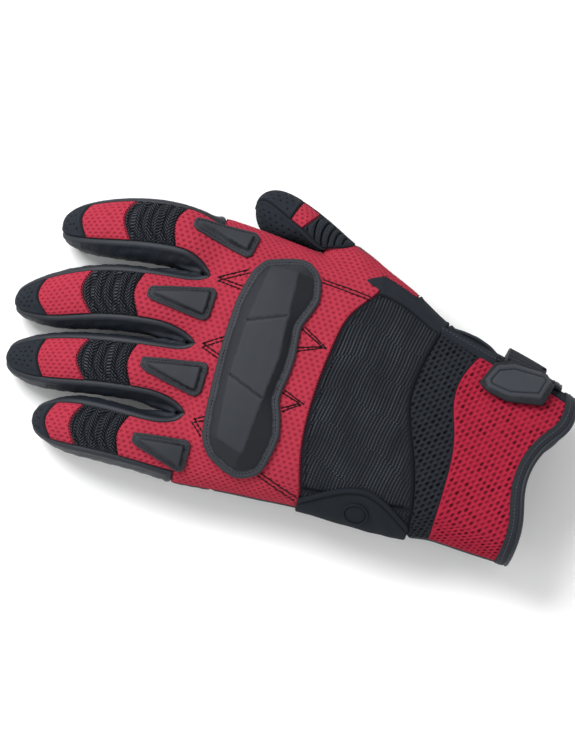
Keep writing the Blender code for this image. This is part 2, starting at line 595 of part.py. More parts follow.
def plate(name, outline, spine, profile, place=above):
    """Moulded part lying on the shell."""
    points = densify(outline, PLATE_STEP)
    rings = [[place(q.x, q.y, CLEAR + height) for q in draw_in(points, spine, fraction)]
             for fraction, height in profile]
    make(name, *loft(rings), smooth=False)


def make_plates():
    for name, (outline, spine) in FINGER_PADS.items():
        plate(name, outline, spine, FINGER_PAD_PROFILE)
    plate("knuckle_guard", GUARD_OUTLINE, GUARD_SPINE, GUARD_PROFILE)
    plate("loop_patch", TAB_OUTLINE, TAB_SPINE, LOOP_PROFILE)
    plate("hook_patch", TAB_OUTLINE, TAB_SPINE, HOOK_PROFILE)
    plate("strap_tab", TAB_OUTLINE, TAB_SPINE, TAB_PROFILE)
    plate("palm_outer_pad", OUTER_PAD_OUTLINE, OUTER_PAD_SPINE, OUTER_PAD_PROFILE, place=below)


def make_heel_pad():
    """Pad under the palm: follows the palm above, flat underneath."""
    points = densify(HEEL_PAD_OUTLINE, HEEL_PAD_STEP)
    rings = [[below(q.x, q.y, CLEAR) for q in draw_in(points, HEEL_PAD_SPINE, fraction)]
             for fraction in HEEL_PAD_TOP]
    rings += [[Vector((q.x, q.y, z)) for q in draw_in(points, HEEL_PAD_SPINE, fraction)]
              for fraction, z in HEEL_PAD_BOTTOM]
    make("palm_heel_pad", *loft(rings), smooth=False)


# ---------------------------------------------------------------- button, binding, bands
def make_flap_button():
    """Round button on the little-finger side."""
    centre, normal, _, _ = TREE.find_nearest(Vector(BUTTON_NEAR))
    side = normal.cross(Vector((0, 1, 0))).normalized()
    other = normal.cross(side).normalized()
    rings = []
    for radius, height in BUTTON_PROFILE:
        ring = []
        for k in range(BUTTON_SIDES):
            angle = 2 * math.pi * k / BUTTON_SIDES
            spoke = side * math.cos(angle) + other * math.sin(angle)
            point, point_normal, _, _ = TREE.find_nearest(centre + spoke * radius)
            ring.append(point + point_normal * height)
        rings.append(ring)
    make("flap_button", *loft(rings))


def make_cuff_binding():
    """Tube just past the cuff hem, the only open edge of the shell."""
    following = {b: a for a, b in open_edges(FACES)}
    hem = [next(iter(following))]
    while following[hem[-1]] != hem[0]:
        hem.append(following[hem[-1]])
    neighbours = {}
    for face in FACES:
        for v in face:
            if v in following:
                neighbours.setdefault(v, []).extend(face)
    angles = [2 * math.pi * k / BINDING_SIDES for k in range(BINDING_SIDES)]
    sections = []
    for i, v in enumerate(hem):
        tangent = (VERTICES[hem[(i + 1) % len(hem)]] - VERTICES[hem[i - 1]]).normalized()
        normal = (NORMALS[v] - tangent * NORMALS[v].dot(tangent)).normalized()
        outward = tangent.cross(normal).normalized()
        if outward.dot(mean_point(neighbours[v]) - VERTICES[v]) > 0:
            outward = -outward
        centre = (VERTICES[v] + outward * (BINDING_RADIUS + BINDING_GAP)
                  - normal * (SHELL * 0.5))
        sections.append([centre + (outward * math.cos(a) + normal * math.sin(a))
                         * BINDING_RADIUS for a in angles])
    make("cuff_binding", *loft(sections, closed=True))


def make_band(name, y_range, angle_range, thickness, divisions):
    """Curved slab on the cuff, between two y values and two angles."""
    (y0, y1), (angle0, angle1) = y_range, angle_range
    rows, columns = divisions
    vertices = []
    for height in (CLEAR, CLEAR + thickness):
        for i in range(rows + 1):
            y = y0 + (y1 - y0) * i / rows
            for k in range(columns + 1):
                angle = math.radians(angle0 + (angle1 - angle0) * k / columns)
                vertices.append(cast((BAND_CENTRE_X, y, BAND_CENTRE_Z),
                                     (math.cos(angle), 0, math.sin(angle)), height))
    row = columns + 1                   # index steps to the next row and layer
    layer = (rows + 1) * row

    def quad(corner, first, second):
        return corner, corner + first, corner + first + second, corner + second

    faces = []
    for i in range(rows):
        for k in range(columns):
            faces.append(quad(i * row + k, 1, row))
            faces.append(quad(layer + i * row + k, row, 1))
    for i in range(rows):
        faces.append(quad(i * row, row, layer))
        faces.append(quad(i * row + columns, layer, row))
    for k in range(columns):
        faces.append(quad(k, layer, 1))
        faces.append(quad(rows * row + k, 1, layer))
    make(name, vertices, faces)


# ---------------------------------------------------------------- build
for old_object in list(bpy.data.objects):
    bpy.data.objects.remove(old_object, do_unlink=True)
GLOVE = bpy.data.collections.new("riding_glove")
bpy.context.scene.collection.children.link(GLOVE)

VERTICES, NORMALS, FACES, PANELS = smooth_cage(build_cage(), level=1)
TREE = BVHTree.FromPolygons(VERTICES, FACES)

make_shell()
make_cuff_lining()
make_plates()
make_heel_pad()
make_flap_button()
make_cuff_binding()
for band_name, band in BANDS.items():
    make_band(band_name, *band)
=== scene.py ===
"""Looks of a left-hand riding glove: fabric, leather and moulded parts on the bodies of the
CAD assembly.

+Y points to the fingertips, +X to the thumb side, +Z out of the back of the hand; z = 0 is
the plane the palm heel pad rests on. Lengths are millimetres until a mesh is written."""
import math
from functools import partial
import bpy
import numpy as np
from mathutils import Matrix, Vector, geometry
from mathutils.bvhtree import BVHTree
from mathutils.kdtree import KDTree


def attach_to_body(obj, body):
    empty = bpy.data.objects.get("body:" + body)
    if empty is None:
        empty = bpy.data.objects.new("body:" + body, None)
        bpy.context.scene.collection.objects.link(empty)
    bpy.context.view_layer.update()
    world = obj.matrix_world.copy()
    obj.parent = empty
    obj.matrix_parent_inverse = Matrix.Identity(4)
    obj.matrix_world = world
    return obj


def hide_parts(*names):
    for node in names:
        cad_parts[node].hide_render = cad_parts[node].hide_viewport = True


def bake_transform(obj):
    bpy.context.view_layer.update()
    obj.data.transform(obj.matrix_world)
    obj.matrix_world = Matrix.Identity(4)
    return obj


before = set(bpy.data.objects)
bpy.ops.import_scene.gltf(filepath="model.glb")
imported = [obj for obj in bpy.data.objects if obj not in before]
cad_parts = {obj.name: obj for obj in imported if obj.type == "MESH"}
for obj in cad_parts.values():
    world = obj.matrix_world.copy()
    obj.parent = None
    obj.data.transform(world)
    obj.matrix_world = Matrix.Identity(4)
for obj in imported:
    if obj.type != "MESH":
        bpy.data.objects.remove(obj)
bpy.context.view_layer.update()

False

MM = 0.001
CLEAR = 0.42        # gap between the shell and the parts laid on it
HALF_TURN = math.pi
FULL_TURN = 2 * math.pi

# The camera looks along -VIEW_AXIS, from a little to the little-finger side of +Z;
# SIDE_AXIS is square to it and points to the thumb side.
VIEW_TILT = math.radians(8.0)
SIDE_AXIS = Vector((math.cos(VIEW_TILT), 0, math.sin(VIEW_TILT)))
VIEW_AXIS = Vector((-math.sin(VIEW_TILT), 0, math.cos(VIEW_TILT)))

# ------------------------------------------------------------------ control cage
# The shell is one quad cage: a 20-corner ring per hand station, an 8-corner ring per digit
# station.
LIMIT = 1.108       # cage radius / smooth-surface radius of an 8-corner ring

# Hand rings from the finger roots to the hem.  Each: mid height, rise of the back, drop of
# the palm, then (x, y) across the back from the thumb edge to the little-finger edge.
HAND_RINGS = (
    (24.0, 14.6, 13.0, (
        (57.8, 54.0), (53.0, 54.0), (41.6, 53.2), (28.9, 51.6), (13.6, 51.0), (-0.8, 50.4),
        (-15.0, 48.8), (-30.0, 46.6), (-44.4, 45.4), (-56.2, 45.4), (-59.6, 45.8))),
    (24.0, 17.2, 15.6, (
        (56.6, 37.0), (52.0, 37.0), (41.8, 37.0), (29.3, 37.0), (14.8, 37.0), (0.6, 37.0),
        (-13.6, 37.0), (-29.0, 37.0), (-43.4, 37.0), (-55.0, 37.0), (-59.0, 37.0))),
    (24.0, 18.2, 17.4, (
        (55.4, 28.0), (51.0, 28.4), (41.6, 28.8), (29.2, 29.2), (15.0, 29.6), (1.2, 30.0),
        (-12.6, 30.0), (-28.2, 30.0), (-42.4, 30.0), (-54.2, 29.6), (-58.4, 29.2))),
    (24.5, 19.0, 19.6, (
        (53.0, 6.4), (48.6, 7.0), (40.6, 10.5), (28.8, 14.0), (15.2, 16.6), (1.8, 18.6),
        (-12.0, 19.2), (-27.0, 19.4), (-41.0, 19.0), (-53.0, 18.4), (-57.6, 17.8))),
    (24.8, 20.2, 20.4, (
        (51.6, -7.0), (46.6, -6.8), (38.0, -2.6), (28.0, 2.4), (15.8, 5.6), (2.4, 8.0),
        (-11.0, 8.8), (-25.4, 9.1), (-39.4, 8.6), (-51.8, 7.0), (-57.8, 5.8))),
    (25.0, 20.9, 20.8, (
        (53.4, -20.6), (48.0, -18.6), (41.4, -20.6), (28.6, -5.6), (16.2, -3.6), (3.1, -1.5),
        (-8.9, -0.2), (-21.7, 0.5), (-34.7, -0.1), (-48.4, -4.1), (-57.6, -7.0))),
    (25.0, 21.2, 20.8, (
        (46.6, -35.4), (44.0, -34.6), (39.0, -32.0), (25.4, -27.0), (12.0, -24.4), (0.3, -23.5),
        (-10.4, -23.8), (-21.8, -25.1), (-33.3, -28.3), (-48.6, -33.6), (-59.6, -37.3))),
    (25.0, 20.8, 20.6, (
        (36.4, -50.0), (34.2, -49.0), (30.6, -47.2), (19.0, -44.8), (8.0, -42.3), (-2.3, -41.0),
        (-11.1, -44.0), (-19.7, -48.9), (-29.4, -53.8), (-44.6, -58.0), (-60.2, -58.9))),
    (25.0, 20.2, 20.6, (
        (32.4, -69.6), (27.6, -67.1), (21.6, -63.5), (14.4, -59.6), (6.7, -59.0), (-1.2, -61.8),
        (-8.2, -64.7), (-16.7, -65.3), (-27.0, -64.4), (-43.2, -63.0), (-58.2, -62.4))),
    (25.0, 19.8, 20.6, (
        (28.6, -87.8), (23.0, -86.2), (15.6, -82.3), (7.5, -78.2), (-0.6, -76.4), (-9.5, -76.6),
        (-16.8, -78.1), (-24.7, -79.4), (-34.2, -79.8), (-47.8, -78.6), (-57.8, -77.5))),
    (25.2, 20.4, 20.8, (
        (22.6, -105.4), (15.6, -107.4), (5.2, -106.8), (-0.9, -101.2), (-8.3, -96.4),
        (-17.9, -93.6), (-26.6, -93.6), (-34.0, -95.3), (-41.5, -97.0), (-50.6, -96.6),
        (-57.6, -95.2))),
)
LEVEL_RINGS = (0, 1, 2)         # palm corners straight under the back corners
HALFWAY_RINGS = (3, 4)          # palm corners halfway to a straight line between the edges
CUFF_BOW = {8: 0.5, 9: 1.2, 10: 2.4}    # shift of the palm corners toward +Y on cuff rings
BACK_POWER, PALM_POWER = 2.7, 3.2       # squareness of the arch over the back and palm
# crotch corners of ring 0: heights, and the points midway between back and palm
WEB_Z = {2: 33.6, 4: 34.4, 6: 33.2, 12: 15.2, 14: 14.2, 16: 14.6}
WEB_MIDDLES = ((28.9, 53.0, 24.0), (-0.8, 52.0, 24.4), (-30.0, 48.2, 23.8))

# Panel of each quad: a row between two hand rings, a letter per corner; "." is the
# thumb opening.
PANEL_MAP = ("FFFFFFFFFCCCCCCCCCCF",
             "BBBBBBBBBCCCCCCCCCCB",
             "BBBBBBBBBPPPPPPPPPPB",
             "BBBBBBBBBPPPPPPPPP..",
             "BBBBBBBBBPPPPPPPPP..",
             "WEEEEEEESSPPPPPPPPPM",
             "WEEEEEEESSRRRRRRRRWW",
             "AAAAAAAAALLLLLLLLLGG",
             "KKKKKKKKKLLLLLLLLLGG",
             "KKKKKKKKKLLLLLLLLLGG")
PANEL_NAMES = {
    "F": "back_mesh_front", "B": "back_mesh", "C": "palm_crease", "P": "palm_leather",
    "W": "thumb_web_patch", "E": "elastic_panel", "S": "side_flap", "M": "thumb_side_mesh",
    "R": "wrist_palm_stretch", "A": "air_mesh_panel", "K": "cuff_mesh", "L": "cuff_palm",
    "G": "cuff_gusset"}

# Fingers: roll in degrees; stations of axis x, y, z, half width, half height, dorsal lead;
# tip point.
FINGERS = {
    "index": (16.0, (
        (42.6, 60.0, 25.2, 13.0, 13.2, 1.0), (43.4, 67.0, 24.8, 13.6, 12.6, 6.2),
        (43.1, 76.5, 23.4, 13.8, 12.0, 6.0), (42.1, 86.0, 21.0, 13.5, 11.3, 6.6),
        (40.5, 95.5, 17.4, 12.7, 10.7, 5.2), (38.7, 104.6, 13.2, 11.3, 9.9, 5.0),
        (37.5, 111.3, 9.8, 9.2, 8.7, 1.6), (36.5, 116.6, 8.0, 5.9, 5.4, 0.4)),
        (36.1, 119.2, 7.2)),
    "middle": (6.0, (
        (14.2, 64.0, 25.4, 13.9, 13.2, 1.0), (13.1, 76.5, 24.4, 14.1, 12.6, 6.6),
        (12.0, 86.0, 22.8, 14.1, 12.0, 6.6), (10.4, 94.8, 20.4, 13.8, 11.3, 7.4),
        (7.6, 104.6, 16.6, 13.1, 10.7, 6.0), (4.8, 113.0, 12.8, 11.9, 9.9, 7.6),
        (2.4, 121.6, 9.4, 8.8, 8.7, 1.8), (0.8, 127.6, 7.8, 5.6, 5.4, 0.4)),
        (0.1, 130.6, 7.2)),
    "ring": (2.0, (
        (-14.6, 60.0, 25.0, 13.4, 13.2, 1.0), (-15.6, 72.0, 24.0, 13.4, 12.5, 5.8),
        (-16.5, 81.0, 22.4, 13.3, 11.9, 6.4), (-17.5, 89.5, 20.0, 13.0, 11.3, 7.4),
        (-18.9, 99.0, 16.4, 12.8, 10.7, 5.6), (-20.4, 107.8, 12.6, 12.2, 9.9, 4.8),
        (-22.0, 117.4, 9.4, 10.2, 8.7, 1.8), (-22.9, 125.0, 7.8, 6.2, 5.4, 0.4)),
        (-23.3, 128.2, 7.2)),
    "pinky": (-5.0, (
        (-44.9, 56.0, 23.8, 12.8, 12.6, 1.0), (-44.5, 68.6, 22.8, 12.8, 12.0, 5.6),
        (-44.2, 77.6, 21.0, 13.1, 11.5, 5.8), (-44.2, 86.4, 18.4, 12.9, 11.0, 6.4),
        (-44.3, 91.4, 16.4, 12.4, 10.6, 6.0), (-44.5, 95.6, 14.2, 11.7, 10.1, 6.4),
        (-44.9, 102.4, 9.8, 8.8, 8.8, 1.8), (-45.0, 107.6, 8.0, 5.2, 5.2, 0.4)),
        (-45.1, 110.4, 7.2)),
}
# corners of hand ring 0 each finger grows from; 20 to 22 are the web middles
FINGER_BASES = {"index": (19, 0, 1, 2, 20, 16, 17, 18), "middle": (20, 2, 3, 4, 21, 14, 15, 16),
                "ring": (21, 4, 5, 6, 22, 12, 13, 14), "pinky": (22, 6, 7, 8, 9, 10, 11, 12)}
# (hand ring, corner) round the thumb opening
THUMB_BASE = ((5, 18), (5, 19), (5, 0), (4, 0), (3, 0), (3, 19), (3, 18), (4, 18))

# thumb stations: outer x, y, inner x, y, mid height, half height, roll in degrees
THUMB = ((56.6, -12.4, 53.0, 9.8, 21.0, 12.2, 30.0), (59.6, -3.4, 54.0, 13.2, 19.2, 12.2, 20.0),
         (64.6, 5.0, 54.2, 17.8, 17.6, 12.2, 17.0), (68.8, 13.6, 53.8, 22.8, 16.0, 12.2, 27.0),
         (72.8, 22.4, 53.6, 28.6, 14.5, 11.9, 38.0), (75.4, 31.0, 54.6, 34.2, 13.0, 10.8, 50.0),
         (75.0, 37.4, 57.2, 37.9, 11.8, 8.6, 62.0), (71.4, 40.9, 61.8, 40.7, 10.8, 4.8, 70.0))
THUMB_POLE = (66.8, 42.3, 10.2)
# corner angles of the first stations, where the joint panel runs down the inner side
THUMB_TURN = {0: (-42, 4, 54, 104, 148, 192, 236, 277), 1: (-25, 25, 85, 148, 192, 235, 278, 315),
              2: (-18, 28, 80, 136, 180, 225, 268, 306), 3: (-27, 18, 62, 106, 152, 198, 243, 288)}
# (station, corner): shift along the thumb
THUMB_LEAD = {(1, 1): -0.5, (1, 2): -5.0, (1, 3): -4.5, (1, 4): -3.0, (2, 2): -1.5,
              (2, 3): -1.5, (3, 3): 1.5}
THUMB_LEAD_X, THUMB_LEAD_Y = 0.37, 0.93     # direction of that shift

DIGIT_LINES = {name: np.array([station[:3] for station in stations] + [pole])
               for name, (_, stations, pole) in FINGERS.items()}
DIGIT_LINES["thumb"] = np.array(
    [((outer_x + inner_x) / 2, (outer_y + inner_y) / 2, z)
     for outer_x, outer_y, inner_x, inner_y, z, _, _ in THUMB] + [THUMB_POLE])


def axis_frame(axis):
    """Level side vector and up vector of a unit axis."""
    side = np.array([axis[1], -axis[0], 0.0])
    side /= np.linalg.norm(side)
    return side, np.cross(side, axis)


def hand_ring(row):
    """Corners of a ring: 0-8 over the back, 9 the little-finger edge, 10-18 over the palm
    back to the thumb side, 19 the thumb edge."""
    mid_z, rise, drop, outline = HAND_RINGS[row]
    (thumb_x, thumb_y), (little_x, little_y) = outline[0], outline[-1]
    mid_x, half_width = 0.5 * (thumb_x + little_x), 0.5 * abs(thumb_x - little_x)
    web = WEB_Z if row == 0 else {}

    def arch(x, power):
        return (1.0 - min(1.0, abs(x - mid_x) / half_width) ** power) ** 0.5

    back = [(x, y, web.get(corner, mid_z + rise * arch(x, BACK_POWER)))
            for corner, (x, y) in enumerate(outline[1:-1])]
    palm = []
    for corner, (x, back_y) in enumerate(outline[-2:0:-1], 10):
        across = (x - little_x) / (thumb_x - little_x)
        y = little_y + (thumb_y - little_y) * across
        if row in LEVEL_RINGS:
            y = back_y
        elif row in HALFWAY_RINGS:
            y = 0.5 * (y + back_y)
        elif row in CUFF_BOW:
            y = back_y + CUFF_BOW[row] * min(1.0, 4.0 * across * (1.0 - across))
        palm.append((x, y, web.get(corner, mid_z - drop * arch(x, PALM_POWER))))
    return back + [(little_x, little_y, mid_z)] + palm + [(thumb_x, thumb_y, mid_z)]


def finger_rings(finger):
    roll, stations, _ = FINGERS[finger]
    line = DIGIT_LINES[finger]
    rings = []
    for i, (*_, half_width, half_height, lead) in enumerate(stations):
        axis = line[i + 1] - line[max(0, i - 1)]
        axis = axis / np.linalg.norm(axis)
        side, up = axis_frame(axis)
        ring = []
        for k in range(8):
            angle = math.radians(45 * k - roll)
            ring.append(line[i] + side * (half_width * LIMIT * math.cos(angle))
                        + up * (half_height * LIMIT * math.sin(angle))
                        + axis * (lead if k == 2 else 0.0))
        rings.append(ring)
    return rings


def thumb_rings():
    rings = []
    for i, (outer_x, outer_y, inner_x, inner_y, _, half_height, roll) in enumerate(THUMB):
        x, y, z = DIGIT_LINES["thumb"][i]
        half_x, half_y = 0.5 * (outer_x - inner_x), 0.5 * (outer_y - inner_y)
        ring = []
        for k in range(8):
            angle = math.radians(THUMB_TURN[i][k] if i in THUMB_TURN else 45 * k - roll)
            reach = LIMIT * math.cos(angle)
            lead = THUMB_LEAD.get((i, k), 0.0)
            ring.append((x + half_x * reach + THUMB_LEAD_X * lead,
                         y + half_y * reach + THUMB_LEAD_Y * lead,
                         z + half_height * LIMIT * math.sin(angle)))
        rings.append(ring)
    return rings


def digit_panel(digit, row, side):
    """Panel of a digit quad; row 8 is the fan of quads at the tip."""
    thumb = digit == "thumb"
    dorsal = side in (1, 2)
    if row <= 1:
        if thumb:
            return "back_mesh" if side in (1, 2, 3, 4) else "thumb_base_leather"
        return "back_mesh_front" if dorsal else digit + "_base_leather"
    if row <= 3:
        return digit + ("_accordion" if dorsal else "_bend_leather")
    if row <= (4 if thumb else 5):
        return digit + ("_mesh" if dorsal else "_tip_leather")
    capped = dorsal if row < 8 else side == 1
    return digit + ("_tip_cap" if capped else "_tip_leather")


def build_cage():
    """Vertices, quads and a panel name per quad, of the whole glove shell."""
    vertices, quads, panels = [], [], []

    def add(points):
        first = len(vertices)
        vertices.extend(tuple(float(c) for c in point) for point in points)
        return list(range(first, len(vertices)))

    def add_digit(digit, base, rings, pole):
        loops = [base] + [add(ring) for ring in rings]
        tip, = add([pole])
        for row, (near, far) in enumerate(zip(loops, loops[1:])):
            for k in range(8):
                m = (k + 1) % 8
                quads.append((near[k], far[k], far[m], near[m]))
                panels.append(digit_panel(digit, row, k))
        last = loops[-1]
        for k, side in ((7, 0), (1, 1), (3, 3), (5, 5)):
            quads.append((tip, last[(k + 2) % 8], last[(k + 1) % 8], last[k]))
            panels.append(digit_panel(digit, len(rings), side))

    hand = [add(hand_ring(row)) for row in range(len(HAND_RINGS))]
    root = hand[0] + add(WEB_MIDDLES)
    for letters, upper, lower in zip(PANEL_MAP, hand, hand[1:]):
        for k, letter in enumerate(letters):
            if letter != ".":
                m = (k + 1) % 20
                quads.append((upper[k], upper[m], lower[m], lower[k]))
                panels.append(PANEL_NAMES[letter])
    for finger, (_, _, pole) in FINGERS.items():
        base = [root[corner] for corner in FINGER_BASES[finger]]
        add_digit(finger, base, finger_rings(finger), pole)
    add_digit("thumb", [hand[row][corner] for row, corner in THUMB_BASE], thumb_rings(),
              THUMB_POLE)
    return vertices, quads, panels


# --------------------------------------------------------------- smooth surfaces
def smooth_cage(level):
    """Points, normals, quads, panel number per quad and panel numbers by name."""
    cage_points, cage_quads, panels = build_cage()
    names = sorted(set(panels))
    mesh = bpy.data.meshes.new("cage")
    mesh.from_pydata(cage_points, [], cage_quads)
    tag = mesh.attributes.new("panel", "INT", "FACE")
    tag.data.foreach_set("value", np.array([names.index(name) for name in panels], np.int32))
    cage = bpy.data.objects.new("cage", mesh)
    bpy.context.scene.collection.objects.link(cage)
    subdivision = cage.modifiers.new("smooth", "SUBSURF")
    subdivision.levels = subdivision.render_levels = level
    smooth = cage.evaluated_get(bpy.context.evaluated_depsgraph_get()).to_mesh()
    points = np.empty(len(smooth.vertices) * 3, np.float32)
    smooth.vertices.foreach_get("co", points)
    normals = np.empty_like(points)
    smooth.vertex_normals.foreach_get("vector", normals)
    quads = np.empty(len(smooth.polygons) * 4, np.int32)
    smooth.loops.foreach_get("vertex_index", quads)
    numbers = np.empty(len(smooth.polygons), np.int32)
    smooth.attributes["panel"].data.foreach_get("value", numbers)
    bpy.data.objects.remove(cage, do_unlink=True)
    bpy.data.meshes.remove(mesh)
    return (points.reshape(-1, 3).astype(float), normals.reshape(-1, 3).astype(float),
            quads.reshape(-1, 4), numbers, {name: i for i, name in enumerate(names)})


LEVELS = {level: smooth_cage(level) for level in (2, 3, 4, 5)}
SHELL = BVHTree.FromPolygons([Vector(point) for point in LEVELS[3][0]],
                             [tuple(int(i) for i in quad) for quad in LEVELS[3][2]])


def refine(points, normals, quads):
    """Each quad split in four without moving the surface."""
    count = len(points)
    edges = np.concatenate([quads[:, [i, (i + 1) % 4]] for i in range(4)]).astype(np.int64)
    edges = np.sort(edges, axis=1)
    unique, inverse = np.unique(edges[:, 0] * count + edges[:, 1], return_inverse=True)
    start, end = unique // count, unique % count
    centres = np.arange(len(quads)) + count + len(unique)
    middles = inverse.reshape(4, len(quads)).T + count
    new_points = np.concatenate([points, (points[start] + points[end]) / 2,
                                 points[quads].mean(1)])
    new_normals = np.concatenate([normals, normals[start] + normals[end],
                                  normals[quads].sum(1)])
    new_normals /= np.linalg.norm(new_normals, axis=1)[:, None]
    new_quads = np.concatenate([
        np.stack([quads[:, i], middles[:, i], centres, middles[:, i - 1]], 1) for i in range(4)])
    return new_points, new_normals, new_quads


def patch(panels, level):
    """Points, normals and quads of some panels; level 6 is level 5 with its quads split."""
    if level == 6:
        return refine(*patch(panels, 5))
    points, normals, quads, numbers, names = LEVELS[level]
    quads = quads[np.isin(numbers, [names[panel] for panel in panels])]
    used, inverse = np.unique(quads, return_inverse=True)
    return points[used], normals[used], inverse.reshape(-1, 4)


def border_edges(faces):
    """Directed border edges of a patch."""
    corners = faces.shape[1]
    edges = np.concatenate([faces[:, [i, (i + 1) % corners]] for i in range(corners)])
    key = np.sort(edges, axis=1)
    _, first, count = np.unique(key[:, 0].astype(np.int64) * 10000019 + key[:, 1],
                                return_index=True, return_counts=True)
    return edges[first[count == 1]]


def border_loops(rim):
    following = {int(a): int(b) for a, b in rim}
    loops, todo = [], set(following)
    while todo:
        loop = [min(todo)]
        todo.discard(loop[0])
        while following[loop[-1]] in todo:
            loop.append(following[loop[-1]])
            todo.discard(loop[-1])
        loops.append(loop)
    return loops


def wall_quads(edges, offset):
    """Quads from directed edges to the same edges `offset` vertices further on."""
    start, end = edges[:, 0], edges[:, 1]
    return np.stack([end, start, start + offset, end + offset], 1)


def border_wall(faces):
    """Border vertices, and the quads that join two copies of them laid end to end."""
    border, edges = np.unique(border_edges(faces), return_inverse=True)
    return border, wall_quads(edges.reshape(-1, 2), len(border))


def grid_quads(rows, columns, close_rows=False, close_columns=False):
    i, k = np.meshgrid(np.arange(rows if close_rows else rows - 1),
                       np.arange(columns if close_columns else columns - 1), indexing="ij")
    i, k = i.ravel(), k.ravel()
    j, m = (i + 1) % rows, (k + 1) % columns
    return np.stack([i * columns + k, i * columns + m, j * columns + m, j * columns + k], 1)


TURNED_OVER = [0, 3, 2, 1]      # corner order that flips a quad and keeps its diagonal


def facing(vertices, quads, outward):
    """The quads, flipped if on the whole they look against `outward`."""
    corner = vertices[quads[:, 0]]
    normals = np.cross(vertices[quads[:, 1]] - corner, vertices[quads[:, 2]] - corner)
    return quads[:, ::-1] if (normals * outward).sum() < 0 else quads


def kd_tree(points):
    tree = KDTree(len(points))
    for i, point in enumerate(points):
        tree.insert(point, i)
    tree.balance()
    return tree


def distance_to(points, targets):
    tree = kd_tree(targets)
    return np.array([tree.find(point)[2] for point in points])


def smoothstep(value, low, high):
    t = np.clip((value - low) / (high - low), 0.0, 1.0)
    return t * t * (3 - 2 * t)


def bell(value, centre, width):
    return np.exp(-((value - centre) / width) ** 2)


def unit(vectors):
    return vectors / np.maximum(np.linalg.norm(vectors, axis=1), 1e-9)[:, None]


def square_to(vectors, normals):
    """Part of each vector square to its normal."""
    return vectors - normals * (vectors * normals).sum(1)[:, None]


def point_keys(points, digits):
    return [tuple(point) for point in np.round(points, digits)]


# ------------------------------------------------------------------ mesh builder
class Piece:
    """Collects vertices and faces in millimetres and writes one mesh object in metres."""

    def __init__(self, name):
        self.name = name
        self.vertices, self.faces, self.slots = [], [], []
        self.uvs, self.masks, self.materials = [], [], []
        self.count = 0

    def add(self, vertices, faces, mat, uv=None, mask=None):
        if mat not in self.materials:
            self.materials.append(mat)
        count = len(vertices)
        self.faces.append(np.asarray(faces, np.int64) + self.count)
        self.slots.append(np.full(len(faces), self.materials.index(mat), np.int32))
        self.vertices.append(vertices)
        self.uvs.append(np.zeros((count, 2)) if uv is None else uv)
        self.masks.append(np.zeros(count) if mask is None else mask)
        self.count += count

    def build(self):
        vertices = np.concatenate(self.vertices) * MM
        loops = np.concatenate([faces.ravel() for faces in self.faces]).astype(np.int32)
        sizes = np.concatenate([np.full(len(faces), faces.shape[1]) for faces in self.faces])
        starts = np.concatenate([[0], np.cumsum(sizes)[:-1]]).astype(np.int32)
        mesh = bpy.data.meshes.new(self.name)
        mesh.vertices.add(len(vertices))
        mesh.vertices.foreach_set("co", vertices.astype(np.float32).ravel())
        mesh.loops.add(len(loops))
        mesh.loops.foreach_set("vertex_index", loops)
        mesh.polygons.add(len(starts))
        mesh.polygons.foreach_set("loop_start", starts)
        mesh.polygons.foreach_set("material_index", np.concatenate(self.slots))
        mesh.update(calc_edges=True)
        mesh.polygons.foreach_set("use_smooth", np.ones(len(starts), bool))
        layer = mesh.uv_layers.new(name="pattern")
        layer.data.foreach_set("uv", np.concatenate(self.uvs)[loops].astype(np.float32).ravel())
        attribute = mesh.attributes.new("mask", "FLOAT", "POINT")
        attribute.data.foreach_set("value", np.concatenate(self.masks).astype(np.float32))
        for mat in self.materials:
            mesh.materials.append(mat)
        mesh.validate()
        mesh.update()
        built = bpy.data.objects.new(self.name, mesh)
        bpy.context.scene.collection.objects.link(built)
        return built


def attach(built, nodes, hold):
    """Stand in for CAD nodes; `hold` is the body to ride, or the arguments of a blend, which are
    not used: the piece then only keeps its place in the world.
    """
    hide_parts(*nodes)
    if isinstance(hold, str):
        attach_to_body(built, hold)
    else:
        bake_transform(built)


# --------------------------------------------------------------------- materials
def srgb(colour):
    """Linear RGBA of an 8-bit sRGB colour."""
    return tuple((c / 255) / 12.92 if c / 255 <= 0.04045 else ((c / 255 + 0.055) / 1.055) ** 2.4
                 for c in colour) + (1.0,)


def node(tree, kind, inputs=None, **properties):
    made = tree.nodes.new(kind)
    for key, value in properties.items():
        setattr(made, key, value)
    for key, value in (inputs or {}).items():
        if isinstance(value, bpy.types.NodeSocket):
            tree.links.new(value, made.inputs[key])
        else:
            made.inputs[key].default_value = value
    return made


def calc(tree, operation, first, second):
    return node(tree, "ShaderNodeMath", {0: first, 1: second}, operation=operation).outputs[0]


def wave(tree, value, period):
    phase = calc(tree, "MULTIPLY", value, FULL_TURN / period)
    made = node(tree, "ShaderNodeMath", {0: phase}, operation="SINE")
    return made.outputs[0]


def thread_relief(tree, uv, weave):
    """Thread height in the pattern map; periods in millimetres."""
    split = node(tree, "ShaderNodeSeparateXYZ", {0: uv})
    across, along = split.outputs[0], split.outputs[1]
    if weave == "twill":
        zigzag = calc(tree, "PINGPONG", along, 2.6)
        phase = calc(tree, "ADD", calc(tree, "MULTIPLY", across, 1.0),
                     calc(tree, "MULTIPLY", zigzag, 1.25))
        threads = wave(tree, phase, period=1.5)
        cuts = wave(tree, along, period=1.3)
        return calc(tree, "ADD", calc(tree, "MULTIPLY", threads, 0.8),
                    calc(tree, "MULTIPLY", cuts, 0.3))
    across_period, along_period = {"knit": (0.9, 0.9), "cross": (0.7, 1.1)}[weave]
    return calc(tree, "MULTIPLY", wave(tree, across, across_period),
                wave(tree, along, along_period))


